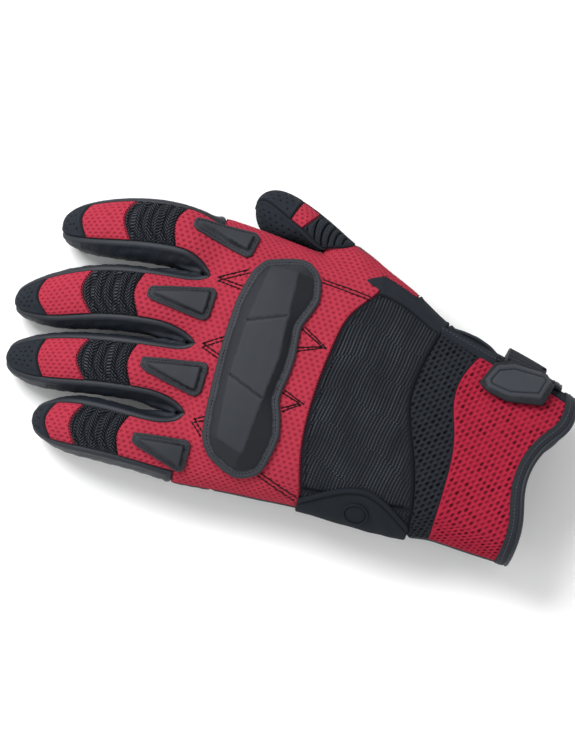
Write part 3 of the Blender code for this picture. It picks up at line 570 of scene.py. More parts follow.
def material(name, *, base, dark, rough, grain, bump, spec, light=None, weave=None,
             grain_scale=3.0):
    """Base colour varied by fine noise from `base` darkened to `light` (or `base`) lightened
    by `grain`; `dark` where the mask attribute is 1.  `weave` adds thread relief."""
    base = srgb(base)
    mat = bpy.data.materials.new(name)
    mat.use_nodes = True
    tree = mat.node_tree
    shader = tree.nodes["Principled BSDF"]
    uv = node(tree, "ShaderNodeUVMap", uv_map="pattern").outputs[0]
    fine = node(tree, "ShaderNodeTexNoise", {"Scale": grain_scale, "Detail": 5.0,
                                             "Roughness": 0.65, "Vector": uv})
    broad = node(tree, "ShaderNodeTexNoise", {"Scale": 0.12, "Detail": 3.0, "Vector": uv})
    height = blend = fine.outputs["Fac"]
    if weave:
        thread = thread_relief(tree, uv, weave)
        blend = calc(tree, "ADD", calc(tree, "MULTIPLY", height, 0.5),
                     calc(tree, "MULTIPLY", calc(tree, "ADD", thread, 1.0), 0.3))
        height = calc(tree, "ADD", height, calc(tree, "MULTIPLY", thread, 0.9))
    low = tuple(c * (1 - grain) for c in base[:3]) + (1,)
    high = tuple(min(1.0, c * (1 + grain)) for c in (srgb(light) if light else base)[:3]) + (1,)
    grains = node(tree, "ShaderNodeMix", {"A": low, "B": high}, data_type="RGBA")
    from_low, from_high = (0.55, 0.86) if weave == "twill" else (0.3, 0.7)
    edge = node(tree, "ShaderNodeMapRange",
                {"From Min": from_low, "From Max": from_high, "Value": blend})
    tree.links.new(edge.outputs["Result"], grains.inputs["Factor"])
    toned = node(tree, "ShaderNodeMix", data_type="RGBA", blend_type="MULTIPLY")
    tone = node(tree, "ShaderNodeMapRange",
                {"To Min": 0.86, "To Max": 1.12, "Value": broad.outputs["Fac"]})
    tone_colour = node(tree, "ShaderNodeCombineColor",
                       {channel: tone.outputs["Result"] for channel in range(3)})
    toned.inputs["Factor"].default_value = 1.0
    tree.links.new(grains.outputs["Result"], toned.inputs["A"])
    tree.links.new(tone_colour.outputs["Color"], toned.inputs["B"])
    mask = node(tree, "ShaderNodeAttribute", attribute_name="mask")
    colour = node(tree, "ShaderNodeMix", {"Factor": mask.outputs["Fac"],
                                          "A": toned.outputs["Result"],
                                          "B": srgb(dark)}, data_type="RGBA")
    tree.links.new(colour.outputs["Result"], shader.inputs["Base Color"])
    roughness = node(tree, "ShaderNodeMapRange",
                     {"To Min": rough - 0.08, "To Max": min(1.0, rough + 0.1),
                      "Value": fine.outputs["Fac"]})
    tree.links.new(roughness.outputs["Result"], shader.inputs["Roughness"])
    shader.inputs["Specular IOR Level"].default_value = spec
    relief = node(tree, "ShaderNodeBump",
                  {"Strength": bump, "Distance": 0.0003, "Height": height})
    tree.links.new(relief.outputs["Normal"], shader.inputs["Normal"])
    mat.diffuse_color = base
    return mat


RED = material("red_mesh", base=(156, 45, 62), dark=(96, 17, 32), rough=0.9, grain=0.10,
               weave="knit", bump=0.25, spec=0.12)
CUFF_RED = material("red_air_mesh", base=(136, 21, 44), dark=(62, 4, 18), light=(156, 34, 56),
                    rough=0.9, grain=0.22, weave="knit", bump=0.4, spec=0.12)
AIR = material("black_air_mesh", base=(12, 15, 20), dark=(2, 3, 6), light=(34, 37, 43),
               rough=0.85, grain=0.55, weave="knit", bump=0.5, spec=0.15)
ELASTIC = material("ribbed_elastic", base=(7, 10, 15), dark=(86, 90, 98), light=(15, 18, 24),
                   rough=0.85, grain=0.6, weave="cross", bump=0.5, spec=0.15)
PLEAT = material("pleated_knit", base=(4, 6, 10), dark=(3, 4, 7), light=(58, 62, 70),
                 rough=0.85, grain=0.3, weave="twill", bump=0.9, spec=0.15)
RIB_KNIT = material("ribbed_knit", base=(19, 22, 28), dark=(3, 4, 7), light=(40, 44, 51),
                    rough=0.85, grain=0.4, weave="knit", bump=0.8, spec=0.15)
LEATHER = material("smooth_leather", base=(24, 29, 37), dark=(16, 19, 26), rough=0.55,
                   grain=0.2, bump=0.4, spec=0.34, grain_scale=1.4)
SUEDE = material("charcoal_suede", base=(33, 37, 43), dark=(12, 15, 20), rough=0.95,
                 grain=0.18, bump=0.45, grain_scale=6.0, spec=0.12)
# where the mask asks for it, this dark colour also paints shade on the slopes of the knuckle guard
# and finger pads
RUBBER = material("moulded_rubber", base=(52, 55, 61), dark=(19, 21, 26), rough=0.66,
                  grain=0.07, bump=0.15, spec=0.22, grain_scale=5.0)
RUBBER_DARK = material("moulded_rubber_flange", base=(42, 45, 51), dark=(14, 16, 20),
                       rough=0.66, grain=0.10, bump=0.2, spec=0.22, grain_scale=5.0)
THREAD = material("black_thread", base=(11, 11, 14), dark=(6, 6, 8), rough=0.8, grain=0.3,
                  bump=0.4, spec=0.15)
GREY_THREAD = material("grey_thread", base=(70, 75, 83), dark=(34, 38, 44), rough=0.8,
                       grain=0.3, bump=0.4, spec=0.15)
TAPE = material("binding_tape", base=(30, 33, 39), dark=(62, 66, 73), rough=0.7, grain=0.35,
                weave="cross", bump=0.5, spec=0.2)
LINING = material("napped_lining", base=(34, 36, 40), dark=(20, 22, 26), rough=0.95,
                  grain=0.3, bump=0.6, grain_scale=4.0, spec=0.1)
NAP = material("hook_and_loop", base=(18, 20, 24), dark=(9, 9, 12), rough=0.95, grain=0.5,
               bump=0.9, grain_scale=5.0, spec=0.1)

# ----------------------------------------------------------- pattern coordinates
# Each map gives, per point, millimetres across and along the cloth.
FINGER_ARC_RADIUS, THUMB_ARC_RADIUS = 13.2, 12.0
THUMB_PATTERN_ROLL = 28.0


def digit_uv(digit, points):
    """Arc around the digit's axis and distance along it."""
    roll, radius = THUMB_PATTERN_ROLL, THUMB_ARC_RADIUS
    if digit != "thumb":
        roll, radius = FINGERS[digit][0], FINGER_ARC_RADIUS
    line = DIGIT_LINES[digit]
    line = np.vstack([line[0] - (line[1] - line[0]), line])
    segments = line[1:] - line[:-1]
    lengths = np.linalg.norm(segments, axis=1)
    starts = np.concatenate([[0], np.cumsum(lengths)[:-1]]) - lengths[0]
    best = np.full(len(points), 1e9)
    across, along = np.zeros(len(points)), np.zeros(len(points))
    final = len(segments) - 1
    for i, (segment, length) in enumerate(zip(segments, lengths)):
        # the end segments run on past their ends
        t = np.clip(((points - line[i]) @ segment) / length ** 2,
                    0 if i else -3, 1 if i < final else 3)
        arms = points - (line[i] + t[:, None] * segment)
        distance = np.linalg.norm(arms, axis=1)
        side, up = axis_frame(segment / length)
        angle = np.arctan2(arms @ side, arms @ up) - math.radians(roll)
        angle = (angle + HALF_TURN) % FULL_TURN - HALF_TURN
        near = distance < best
        best[near] = distance[near]
        along[near] = (starts[i] + t * length)[near]
        across[near] = (angle * radius)[near]
    return across, along


def back_uv(points):
    """Flat over the back of the hand, turning to an arc over each finger."""
    x, y, z = points.T
    hand = x + np.sign(x + 2.0) * 0.9 * np.clip(36.5 - z, 0, None)
    fingers = np.zeros(len(points))
    best = np.full(len(points), 1e9)
    for finger in FINGERS:
        line = DIGIT_LINES[finger]
        centre = np.interp(y, line[:, 1], line[:, 0])
        near = np.abs(x - centre) < best
        best[near] = np.abs(x - centre)[near]
        turn = np.arcsin(np.clip((x - centre) / 14.4, -0.98, 0.98))
        fingers[near] = (centre + 14.0 * turn)[near]
    finger_share = smoothstep(y, 45.0, 56.0)
    return hand * (1 - finger_share) + fingers * finger_share, y.copy()


def tube_uv(points):
    """Arc around the hand and cuff from the middle of the back or palm, and y."""
    x, y, z = points.T
    offset = x - -14.0
    back = offset + np.sign(offset) * 0.8 * np.clip(38.0 - z, 0, 26)
    palm = offset + np.sign(offset) * 0.8 * np.clip(z - 12.0, 0, 26)
    return np.where(z > 25.0, back, palm), y.copy()


# -------------------------------------------------------------- surface reliefs
# A relief gets (across, along, inset, points, normals), inset being the distance from the
# panel's seam, and returns the height over the shell and the dark mask.
def lattice(across, along, across_pitch, along_pitch):
    """Offset from the nearest centre of a staggered lattice."""
    i = np.round(across / across_pitch)
    stagger = (i % 2) * along_pitch * 0.5
    j = np.round((along - stagger) / along_pitch)
    return across - i * across_pitch, along - stagger - j * along_pitch


def turned(across, along):
    """Pattern coordinates turned by -10 degrees."""
    c, s = math.cos(math.radians(-10.0)), math.sin(math.radians(-10.0))
    return across * c + along * s, -across * s + along * c


def scatter(seed):
    """Repeatable value from 0 to 1 for each seed."""
    value = np.sin(seed) * 43758.5453
    return value - np.floor(value)


def edge_round(inset, depth, width=None):
    """Elliptical fall to -depth at the edge; a quarter circle when no width is given."""
    t = 1 - np.clip(inset / (width or depth), 0, 1)
    return -depth * (1 - np.sqrt(np.clip(1 - t * t, 0, 1)))


def red_relief(across, along, inset, *_):
    """Staggered lozenge holes with a lip on their +along side."""
    dx, dy = lattice(across, along + 0.12 * across, 2.0, 2.75)
    radius = np.abs(dx) / 0.92 + np.abs(dy + 0.15 * np.abs(dx)) / 1.18
    fade = smoothstep(inset, 0.3, 1.0)
    hole = smoothstep(1 - radius, 0.0, 0.6) * fade
    lip = bell(radius, 1.05, 0.22) * (dy > 0) * fade
    return edge_round(inset, 0.9, 1.5) - 0.42 * hole + 0.08 * lip, 0.55 * hole


def air_relief(depth, tone):
    """Slanted oval holes of uneven size, `depth` deep; `tone` scales their uneven dark."""
    row_pitch, hole_pitch = 2.15, 2.75

    def relief(across, along, inset, *_):
        a, b = turned(across, along)
        a = a + 0.35 * b
        row_offset, hole_offset = lattice(b, a, row_pitch, hole_pitch)
        i, j = np.round((b - row_offset) / row_pitch), np.round(a - hole_offset)
        chance = scatter(i * 12.9898 + j * 78.233)
        radius = np.sqrt((hole_offset / (0.86 + 0.2 * chance)) ** 2
                         + ((row_offset + 0.12 * hole_offset) / (0.66 + 0.14 * chance)) ** 2)
        hole = smoothstep(1.08 - radius, 0.0, 0.5) * smoothstep(inset, 0.3, 1.0)
        lip = (bell(radius, 1.25, 0.25) * smoothstep(row_offset + hole_offset * 0.4, -0.3, 0.5)
               * smoothstep(inset, 0.4, 1.2))
        ridge = 0.10 * np.cos(FULL_TURN * b / row_pitch)
        height = (edge_round(inset, 0.8, 1.4) - depth * hole
                  + (0.16 * lip + ridge) * smoothstep(inset, 0.5, 1.5))
        return height, tone * (0.15 + 0.85 * chance) * hole + 0.15 * hole
    return relief


def shared_points(first, second):
    """Level 5 points of the second panel that also belong to the first."""
    known = set(point_keys(patch((first,), 5)[0], 4))
    return np.array([key for key in point_keys(patch((second,), 5)[0], 4) if key in known])


def exact_shared_points(first, second):
    """The same points, not rounded."""
    points = patch((second,), 5)[0]
    known = set(point_keys(patch((first,), 5)[0], 4))
    return points[[key in known for key in point_keys(points, 4)]]


ELASTIC_REAR = exact_shared_points("elastic_panel", "air_mesh_panel")
ELASTIC_FRONT = exact_shared_points("elastic_panel", "back_mesh")


def elastic_relief(across, along, inset, points, _):
    """Fine uneven ribs in gathered bands, with a flat hem along the cuff."""
    rib_pitch, band_pitch = 1.36, 15.0
    a, b = turned(across, along)
    s = a + 3.0 * np.sin(b * 0.09) + 1.6 * np.sin(b * 0.23 + 1.0)
    gather = smoothstep(np.cos(FULL_TURN * s / band_pitch), 0.94, 1.0)
    band = np.floor(s / band_pitch + 0.5)
    wobble = 0.20 * np.sin(a * 0.31 + b * 0.05) + 0.5 * np.sin(band * 2.1)
    rib = (b + wobble) / rib_pitch
    ridge = 0.5 + 0.5 * np.cos(FULL_TURN * rib)
    chance = scatter(np.round(rib) * 12.9898 + band * 4.1)
    fade = smoothstep(inset, 0.8, 2.0) * (1 - 0.2 * gather)
    x, y, _ = points.T
    puff = 0.16 * np.sin(y * 0.42 + 0.6 * np.sin(x * 0.05)) * smoothstep(inset, 3, 10)
    patchy = 0.75 + 0.25 * np.sin(a * 0.21 + 1.7 * np.sin(b * 0.13)) * np.sin(b * 0.19)
    dash = 0.72 + 0.28 * np.sin(a * FULL_TURN / 1.15 + 2.1 * chance)
    height = (edge_round(inset, 0.9, 1.6) + 0.26 * ridge ** 0.7 * fade * (0.85 + 0.15 * dash)
              + puff - 0.03 * gather * smoothstep(inset, 3, 6))
    mask = np.clip((0.55 + 0.45 * chance) * ridge ** 5 * fade * dash * patchy, 0, 1)
    from_rear = distance_to(points, ELASTIC_REAR)
    hem = 1 - smoothstep(from_rear, 3.2, 4.4)
    height = height * (1 - 0.5 * hem) + hem * 0.75 - 0.45 * bell(from_rear, 3.8, 0.45)
    height = height - 0.3 * bell(distance_to(points, ELASTIC_FRONT), 2.6, 0.5)
    return height, mask * (1 - 0.4 * hem)


def pleat_relief(across, along, inset, *_):
    """Broad pleats, 4.3 apart, with narrow folds between."""
    bowed = along + 0.03 * across * across + 0.25 * np.sin(across * 0.5)
    fade = smoothstep(inset, 0.4, 2.0)
    pleat = np.cos(FULL_TURN * bowed / 4.3)
    height = edge_round(inset, 1.0, 1.6) + fade * 0.55 * (1 - 2 * (0.5 - 0.5 * pleat) ** 1.8)
    mask = 0.6 * smoothstep(-pleat, 0.5, 1.0) * fade + 0.6 * (1 - smoothstep(inset, 0.2, 0.9))
    return height, np.clip(mask, 0, 1)


def rib_relief(across, along, inset, *_):
    """Round ribs, 3.5 apart, with a knit texture."""
    bowed = along - 0.10 * across + 0.02 * across * across
    fade = smoothstep(inset, 0.4, 1.8)
    t = np.abs(np.mod(bowed / 3.5 + 0.35, 1.0) - 0.5) * 2
    rib = np.sqrt(np.clip(1 - t ** 2.4, 0, 1))
    knit = (0.10 * np.sin(FULL_TURN * (across + 0.5 * bowed) / 1.5)
            * np.sin(FULL_TURN * (across - 0.5 * bowed) / 1.5))
    mask = smoothstep(t, 0.55, 0.95) * fade + 0.6 * (1 - smoothstep(inset, 0.2, 0.9))
    return edge_round(inset, 1.0, 1.4) + fade * (1.5 * rib - 0.75 + knit), np.clip(mask, 0, 1)


def leather_relief(across, along, inset, *_):
    """Padded seam and shallow wrinkles."""
    wrinkles = (0.09 * np.sin(along * 0.9 + 1.3 * np.sin(across * 0.35))
                + 0.07 * np.sin(across * 1.1 + along * 0.33)
                + 0.05 * np.sin(along * 2.3 + 2.0 * np.sin(across * 0.8)))
    height = (edge_round(inset, 0.9, 1.3) + 0.45 * bell(inset, 2.0, 1.1)
              + wrinkles * smoothstep(inset, 1.5, 4))
    return height, np.zeros(len(inset))


def snug_relief(across, along, inset, points, normals):
    """Leather swollen where it faces the next finger so the two walls nearly touch."""
    height, mask = leather_relief(across, along, inset)
    gap = np.full(len(points), 99.0)
    for i, (point, normal) in enumerate(zip(points, normals)):
        hit, facing_normal, _, distance = SHELL.ray_cast(
            Vector(point + normal * 0.3), Vector(normal), 9.0)
        if hit is not None and facing_normal.dot(Vector(normal)) < -0.3:
            gap[i] = distance + 0.3
    push = (np.clip(gap / 2 - 0.25 - np.maximum(height, 0), 0, 1.7)
            * smoothstep(-gap, -6.5, -3.6))
    fade = smoothstep(inset, 0.3, 1.2) * smoothstep(along.max() - along, 0.5, 11.0)
    return height + push * fade, mask


def crease_relief(across, along, inset, *_):
    """Padded seam and folds across the palm, 4.6 apart."""
    folds = np.cos(FULL_TURN * (along + 0.5 * np.sin(across * 0.25)) / 4.6)
    height = (edge_round(inset, 0.9, 1.3) + 0.35 * bell(inset, 2.0, 1.1)
              + 0.32 * folds * smoothstep(inset, 1.0, 3.5))
    return height, np.zeros(len(inset))


def suede_relief(across, along, inset, *_):
    """Plain suede with a narrow padded seam."""
    return edge_round(inset, 0.9, 1.0) + 0.38 * bell(inset, 1.0, 0.6), np.zeros(len(inset))


def punched_relief(across, along, inset, *_):
    """The same suede with small round holes."""
    dx, dy = lattice(across, along, 2.9, 3.2)
    hole = (smoothstep(1 - np.sqrt(dx ** 2 + dy ** 2) / 0.62, 0.0, 0.45)
            * smoothstep(inset, 2.0, 2.6))
    return suede_relief(across, along, inset)[0] - 0.42 * hole, hole


# --------------------------------------------------------------------- stitches
def polyline_points(line, pitch):
    """Points at about `pitch` along a poly-line, and its direction there."""
    line = np.asarray(line, float)
    segments = np.diff(line, axis=0)
    lengths = np.linalg.norm(segments, axis=1)
    total = lengths.sum()
    count = max(1, int(round(total / pitch)))
    starts = np.concatenate([[0], np.cumsum(lengths)])
    at = (np.arange(count) + 0.5) * total / count
    i = np.clip(np.searchsorted(starts, at) - 1, 0, len(segments) - 1)
    length = np.maximum(lengths[i], 1e-9)
    t = (at - starts[i]) / length
    return line[i] + segments[i] * t[:, None], segments[i] / length[:, None]


STITCH_STATIONS = np.array((-1.0, -0.72, 0.0, 0.72, 1.0))[:, None, None]
STITCH_FULLNESS = np.array((0.15, 0.85, 1.0, 0.85, 0.15))[:, None, None]
STITCH_SIDES = 6


def add_stitches(piece, points, directions, normals, mat, length, radius):
    """Small rounded threads lying along `directions` on a surface."""
    angles = (np.arange(STITCH_SIDES) * FULL_TURN / STITCH_SIDES)[:, None]
    sides = unit(np.cross(directions, normals))
    centres, directions, normals, sides = (
        vectors[:, None, None] for vectors in (points, directions, normals, sides))
    lift = (np.sin(angles) * STITCH_FULLNESS * radius * 0.8
            - np.abs(STITCH_STATIONS) ** 3 * radius * 0.9)
    vertices = (centres + directions * STITCH_STATIONS * length * 0.5
                + sides * np.cos(angles) * STITCH_FULLNESS * radius
                + normals * lift).reshape(-1, 3)
    rings = len(STITCH_STATIONS)
    quads = grid_quads(rings, STITCH_SIDES, close_columns=True)
    offsets = np.arange(len(points)) * rings * STITCH_SIDES
    faces = (quads + offsets[:, None, None]).reshape(-1, 4)
    piece.add(vertices, faces, mat, uv=vertices[:, :2])


def row_stitches(piece, line, normals, mat, lift, pitch, length, radius):
    """Stitches along a 3-D line with a normal per point."""
    points, directions = polyline_points(line, pitch)
    tree = kd_tree(line)
    near = np.array([normals[tree.find(point)[1]] for point in points])
    directions = unit(square_to(directions, near))
    add_stitches(piece, points + near * lift, directions, near, mat, length, radius)


def shell_above(flat_points, smooth=1.6, down=False):
    """Smoothed position and normal of the shell over (or under) each (x, y)."""
    start_z, step_z = (-40.0, 1) if down else (90.0, -1)
    steps = (-smooth, 0, smooth)

    def cast(x, y):
        return SHELL.ray_cast(Vector((x, y, start_z)), Vector((0, 0, step_z)))[:2]

    positions, normals = [], []
    for x, y in flat_points:
        hits = [cast(x + dx, y + dy) for dx in steps for dy in steps]
        hits = [hit for hit in hits if hit[0] is not None]
        if not hits:
            hits = [SHELL.find_nearest(Vector((x, y, 30.0)))[:2]]
        z = sum(hit[2] for hit, _ in hits) / len(hits)
        centre, _ = cast(x, y)
        if centre is not None:
            z = 0.5 * (z + centre[2])
        positions.append((x, y, z))
        normals.append(tuple(sum((normal for _, normal in hits), Vector()).normalized()))
    return np.array(positions), np.array(normals)


def line_stitches(piece, line, mat, lift, pitch=2.3, length=1.6, radius=0.24, closed=False,
                  down=False):
    """Stitches on the shell over (or under) a flat line."""
    line = np.asarray(line, float)
    if closed:
        line = np.vstack([line, line[:1]])
    points, directions = polyline_points(line, pitch)
    positions, normals = shell_above(points, 1.0, down)
    directions = np.concatenate([directions, np.zeros((len(directions), 1))], 1)
    directions = unit(square_to(directions, normals))
    add_stitches(piece, positions + normals * lift, directions, normals, mat, length, radius)


def border_pull(points, normals, quads, rim):
    """Unit vectors from the border vertices into the panel."""
    pull = np.zeros_like(points)
    centres = points[quads].mean(axis=1)
    for k in range(4):
        np.add.at(pull, quads[:, k], centres - points[quads[:, k]])
    border = np.unique(rim)
    for _ in range(3):
        total, count = np.zeros_like(points), np.zeros(len(points))
        for here, there in ((rim[:, 0], rim[:, 1]), (rim[:, 1], rim[:, 0])):
            np.add.at(total, here, pull[there])
            np.add.at(count, here, 1)
        mean = total[border] / np.maximum(count[border], 1)[:, None]
        pull[border] = 0.5 * pull[border] + 0.5 * mean
    return unit(square_to(pull, normals))


def border_stitches(piece, rim, points, pull, seam, inset, pitch=2.3, length=1.55, radius=0.24,
                    lift=0.1):
    """Stitches `inset` inside a panel border, only beside `seam` where that is given."""
    for loop in border_loops(rim):
        if len(loop) < 8:
            continue
        loop = np.array(loop + [loop[0]])
        at, directions = polyline_points(points[loop] + pull[loop] * inset, pitch)
        if seam is not None:
            beside = distance_to(at, seam) < inset * 1.35 + 0.3
            at, directions = at[beside], directions[beside]
        if not len(at):
            continue
        nearest = [SHELL.find_nearest(Vector(point))[:2] for point in at]
        on_shell = np.array([hit for hit, _ in nearest])
        normals = np.array([normal for _, normal in nearest])
        add_stitches(piece, on_shell + normals * lift, directions, normals, THREAD, length,
                     radius)


# ----------------------------------------------------------------- fabric panels
def shell_look(name, panels, level, uv_map, relief, mat, hold, nodes=None, stitches=None,
               extra=None, depth=2.0, flush=()):
    """Look of some shell panels, `depth` thick.  `flush` names panels that continue this one
    without a seam; `nodes` are the CAD nodes replaced, if not the panels themselves."""
    points, normals, quads = patch(panels, level)
    rim = border_edges(quads)
    border, wall = border_wall(quads)
    seam = points[border]
    if flush:
        other = set(point_keys(patch(flush, min(level, 5))[0], 3))
        shared = np.zeros(len(points), bool)
        shared[border] = [key in other for key in point_keys(seam, 3)]
        # the ends of a shared run still lie on the seam
        on_seam = ~shared
        on_seam[rim[shared[rim[:, 0]] != shared[rim[:, 1]]].ravel()] = True
        seam = seam[on_seam[border]]
    inset = distance_to(points, seam)
    across, along = uv_map(points)
    height, mask = relief(across, along, inset, points, normals)
    raised = points + normals * height[:, None]
    uv = np.stack([across, along], 1)
    piece = Piece(name)
    piece.add(raised, quads, mat, uv=uv, mask=np.clip(mask, 0, 1))
    # turned-in edge
    low = points[border] - normals[border] * depth
    piece.add(np.concatenate([raised[border], low]), wall, mat,
              uv=np.concatenate([uv[border]] * 2),
              mask=np.full(2 * len(border), 0.0 if mat is ELASTIC else 0.6))
    # inner face
    inner_points, inner_normals, inner_quads = patch(panels, 2)
    piece.add(inner_points - inner_normals * depth, inner_quads[:, ::-1], LINING,
              uv=np.stack(uv_map(inner_points), 1))
    if stitches:
        border_stitches(piece, rim, points, border_pull(points, normals, quads, rim),
                        seam if flush else None, **stitches)
    if extra:
        extra(piece)
    attach(piece.build(), nodes or panels, hold)


# --------------------------------------------------------------- planar helpers
def poly_dist(points, line, closed=True):
    """Distance of 2-D points to a poly-line."""
    line = np.asarray(line, float)
    starts = line if closed else line[:-1]
    ends = np.roll(line, -1, axis=0) if closed else line[1:]
    best = np.full(len(points), 1e9)
    for start, step in zip(starts, ends - starts):
        t = np.clip(((points - start) @ step) / max(step @ step, 1e-12), 0, 1)
        best = np.minimum(best, np.linalg.norm(points - start - t[:, None] * step, axis=1))
    return best


def inside(points, outline):
    outline = np.asarray(outline, float)
    result = np.zeros(len(points), bool)
    for start, end in zip(outline, np.roll(outline, -1, axis=0)):
        crosses = (start[1] > points[:, 1]) != (end[1] > points[:, 1])
        dy = end[1] - start[1]
        x = start[0] + (points[:, 1] - start[1]) * (end[0] - start[0]) / (
            dy if abs(dy) > 1e-12 else 1e-12)
        result ^= crosses & (points[:, 0] < x)
    return result


def densify(line, step, closed=True):
    points = np.asarray(line, float)
    ends = np.roll(points, -1, axis=0) if closed else points[1:]
    dense = []
    for start, end in zip(points if closed else points[:-1], ends):
        count = max(1, int(round(np.linalg.norm(end - start) / step)))
        dense += [start + (end - start) * (i / count) for i in range(count)]
    if not closed:
        dense.append(points[-1])
    return np.array(dense)


def eased_loop(points, passes):
    for _ in range(passes):
        points = (0.25 * np.roll(points, 1, axis=0) + 0.5 * points
                  + 0.25 * np.roll(points, -1, axis=0))
    return points


def eased_line(line, passes):
    """Open line resampled at 0.5, then smoothed between fixed ends."""
    line = densify(line, 0.5, closed=False)
    for _ in range(passes):
        line[1:-1] = 0.25 * line[:-2] + 0.5 * line[1:-1] + 0.25 * line[2:]
    return line


def rounded(outline, passes, step):
    """Outline resampled and its corners eased."""
    return eased_loop(densify(outline, step), passes)


def inset_line(outline, distance):
    """Runs of points inside a closed outline, each with whether it closes on itself."""
    tangents = unit(np.roll(outline, -1, axis=0) - np.roll(outline, 1, axis=0))
    area = 0.5 * np.sum(outline[:, 0] * np.roll(outline[:, 1], -1)
                        - np.roll(outline[:, 0], -1) * outline[:, 1])
    normals = np.stack([-tangents[:, 1], tangents[:, 0]], 1) * (1 if area > 0 else -1)
    moved = outline + normals * distance
    kept = (poly_dist(moved, outline) > distance - 0.05) & inside(moved, outline)
    runs, current = [], []
    for point, keep in zip(moved, kept):
        if keep:
            current.append(point)
        elif current:
            runs.append(current)
            current = []
    if current:
        if runs and kept[0]:
            runs[0] = current + runs[0]
        else:
            runs.append(current)
    closed = len(runs) == 1 and kept.all()
    return [(np.array(run), closed) for run in runs if len(run) > 1]


def inset_lines(outline, distances):
    return [run for distance in distances for run in inset_line(outline, distance)]


def region(outline, lines, spacing):
    """Triangles of a flat region with the given poly-lines kept as edges."""
    points, edges, chains = [], [], []
    for line, closed in [(outline, True)] + lines:
        base, count = len(points), len(line)
        points.extend(Vector((float(x), float(y))) for x, y in line)
        edges.extend((base + i, base + (i + 1) % count)
                     for i in range(count if closed else count - 1))
        chains.append(line)
    low, high = np.min(outline, axis=0), np.max(outline, axis=0)
    grid_x, grid_y = np.meshgrid(np.arange(low[0], high[0], spacing),
                                 np.arange(low[1], high[1], spacing * 0.87))
    grid_x[1::2] += spacing * 0.5
    grid = np.stack([grid_x.ravel(), grid_y.ravel()], 1)
    grid = grid[inside(grid, outline)]
    chain = np.concatenate(chains)
    gap = distance_to(np.column_stack([grid, np.zeros(len(grid))]),
                      np.column_stack([chain, np.zeros(len(chain))]))
    grid = grid[gap > spacing * 0.55]
    points.extend(Vector((float(x), float(y))) for x, y in grid)
    result = geometry.delaunay_2d_cdt(points, edges, [list(range(len(outline)))], 1, 1e-4)
    vertices = np.array([(point[0], point[1]) for point in result[0]])
    faces = np.array([face for face in result[2] if len(face) == 3], np.int64)
    first, second, third = (vertices[faces[:, k]] for k in range(3))
    one, two = second - first, third - first
    area = one[:, 0] * two[:, 1] - one[:, 1] * two[:, 0]
    faces[area < 0] = faces[area < 0][:, ::-1]
    return vertices, faces[np.abs(area) > 1e-7]


def moulded(piece, outline, lines, height, mat, spacing, down=False, bottom=CLEAR, mask=None,
            smooth=1.6):
    """A part lying on the shell (under it if `down`); height(flat_points, inset) is its
    thickness above `bottom`."""
    flat, triangles = region(outline, lines, spacing)
    inset = poly_dist(flat, outline)
    positions, normals = shell_above(flat, smooth, down)
    dark = np.zeros(len(flat)) if mask is None else mask(flat, inset)
    top = positions + normals * (bottom + height(flat, inset))[:, None]
    low = positions + normals * bottom
    if down:
        triangles = triangles[:, ::-1]
    border, wall = border_wall(triangles)
    piece.add(top, triangles, mat, uv=flat, mask=dark)
    piece.add(np.concatenate([top[border], low[border]]), wall, mat,
              uv=np.concatenate([flat[border]] * 2), mask=np.concatenate([dark[border]] * 2))
    piece.add(low, triangles[:, ::-1], mat, uv=flat, mask=dark)


def outline_stitches(piece, outline, inset, lift, pitch, length, radius, down=False):
    for run, closed in inset_line(outline, inset):
        line_stitches(piece, run, THREAD, CLEAR + lift, pitch, length, radius, closed, down)


def add_sheet(piece, upper, lower, outward, mat, uv, mask=None):
    """Closed sheet between two equal grids of points; `outward` has a normal per point and
    `mask` a value for each upper and then each lower point."""
    rows, columns = upper.shape[:2]
    count = rows * columns
    vertices = np.concatenate([upper.reshape(-1, 3), lower.reshape(-1, 3)])
    quads = grid_quads(rows, columns)
    quads = facing(vertices, quads, outward.reshape(-1, 3)[quads[:, 0]])
    wall = wall_quads(border_edges(quads), count)
    piece.add(vertices, np.concatenate([quads, wall, quads[:, ::-1] + count]), mat,
              uv=np.concatenate([uv, uv]), mask=mask)


def ring_point(y, angle, centre, reach, turn):
    """Point of the shell at an angle round a centre (x, z), and a normal blended over
    `reach` along y and `turn` of angle."""
    start_x, start_z = centre
    casts = [SHELL.ray_cast(Vector((start_x, y + dy, start_z)),
                            Vector((math.cos(angle + da), 0, math.sin(angle + da))))[:2]
             for dy, da in ((0, 0), (reach, 0), (-reach, 0), (0, turn), (0, -turn))]
    casts = [cast for cast in casts if cast[0] is not None]
    normal = sum((normal for _, normal in casts), Vector((0, 0, 0))).normalized()
    return np.array(casts[0][0]), np.array(normal)


# ------------------------------------------------------------------- hand panels
# blends: first body, second body, and the places where the change starts and ends
KNUCKLE = ("hand", "finger_row", (0, 0.031, 0), (0, 0.043, 0))
WRIST = ("hand", "cuff", (0, -0.021, 0), (0, -0.0405, 0))

# double stitch rows on the back mesh, (x, y)
BACK_ROWS = (((28.3, 48.7), (34.5, 36.8)), ((28.3, 48.7), (26.5, 36.6)),
             ((-0.7, 47.8), (4.7, 38.6)), ((-0.7, 47.8), (-4.7, 38.3)),
             ((-32.4, 43.3), (-28.8, 35.3)), ((-32.4, 43.3), (-37.5, 38.0)),
             ((38.4, 6.3), (37.5, -3.7), (36.1, -14.9)), ((16.4, 8.9), (10.5, -1.4), (6.9, 8.8)),
             ((-11.7, 10.1), (-14.9, 1.6), (-19.5, 9.0)),
             ((-47.1, 10.9), (-50.1, 2.2), (-52.6, -6.3)))
BACK_ROW_HALF_GAP = 0.75

EDGE_STITCHES = dict(inset=0.35, pitch=1.25, length=0.9, radius=0.2, lift=-0.1)


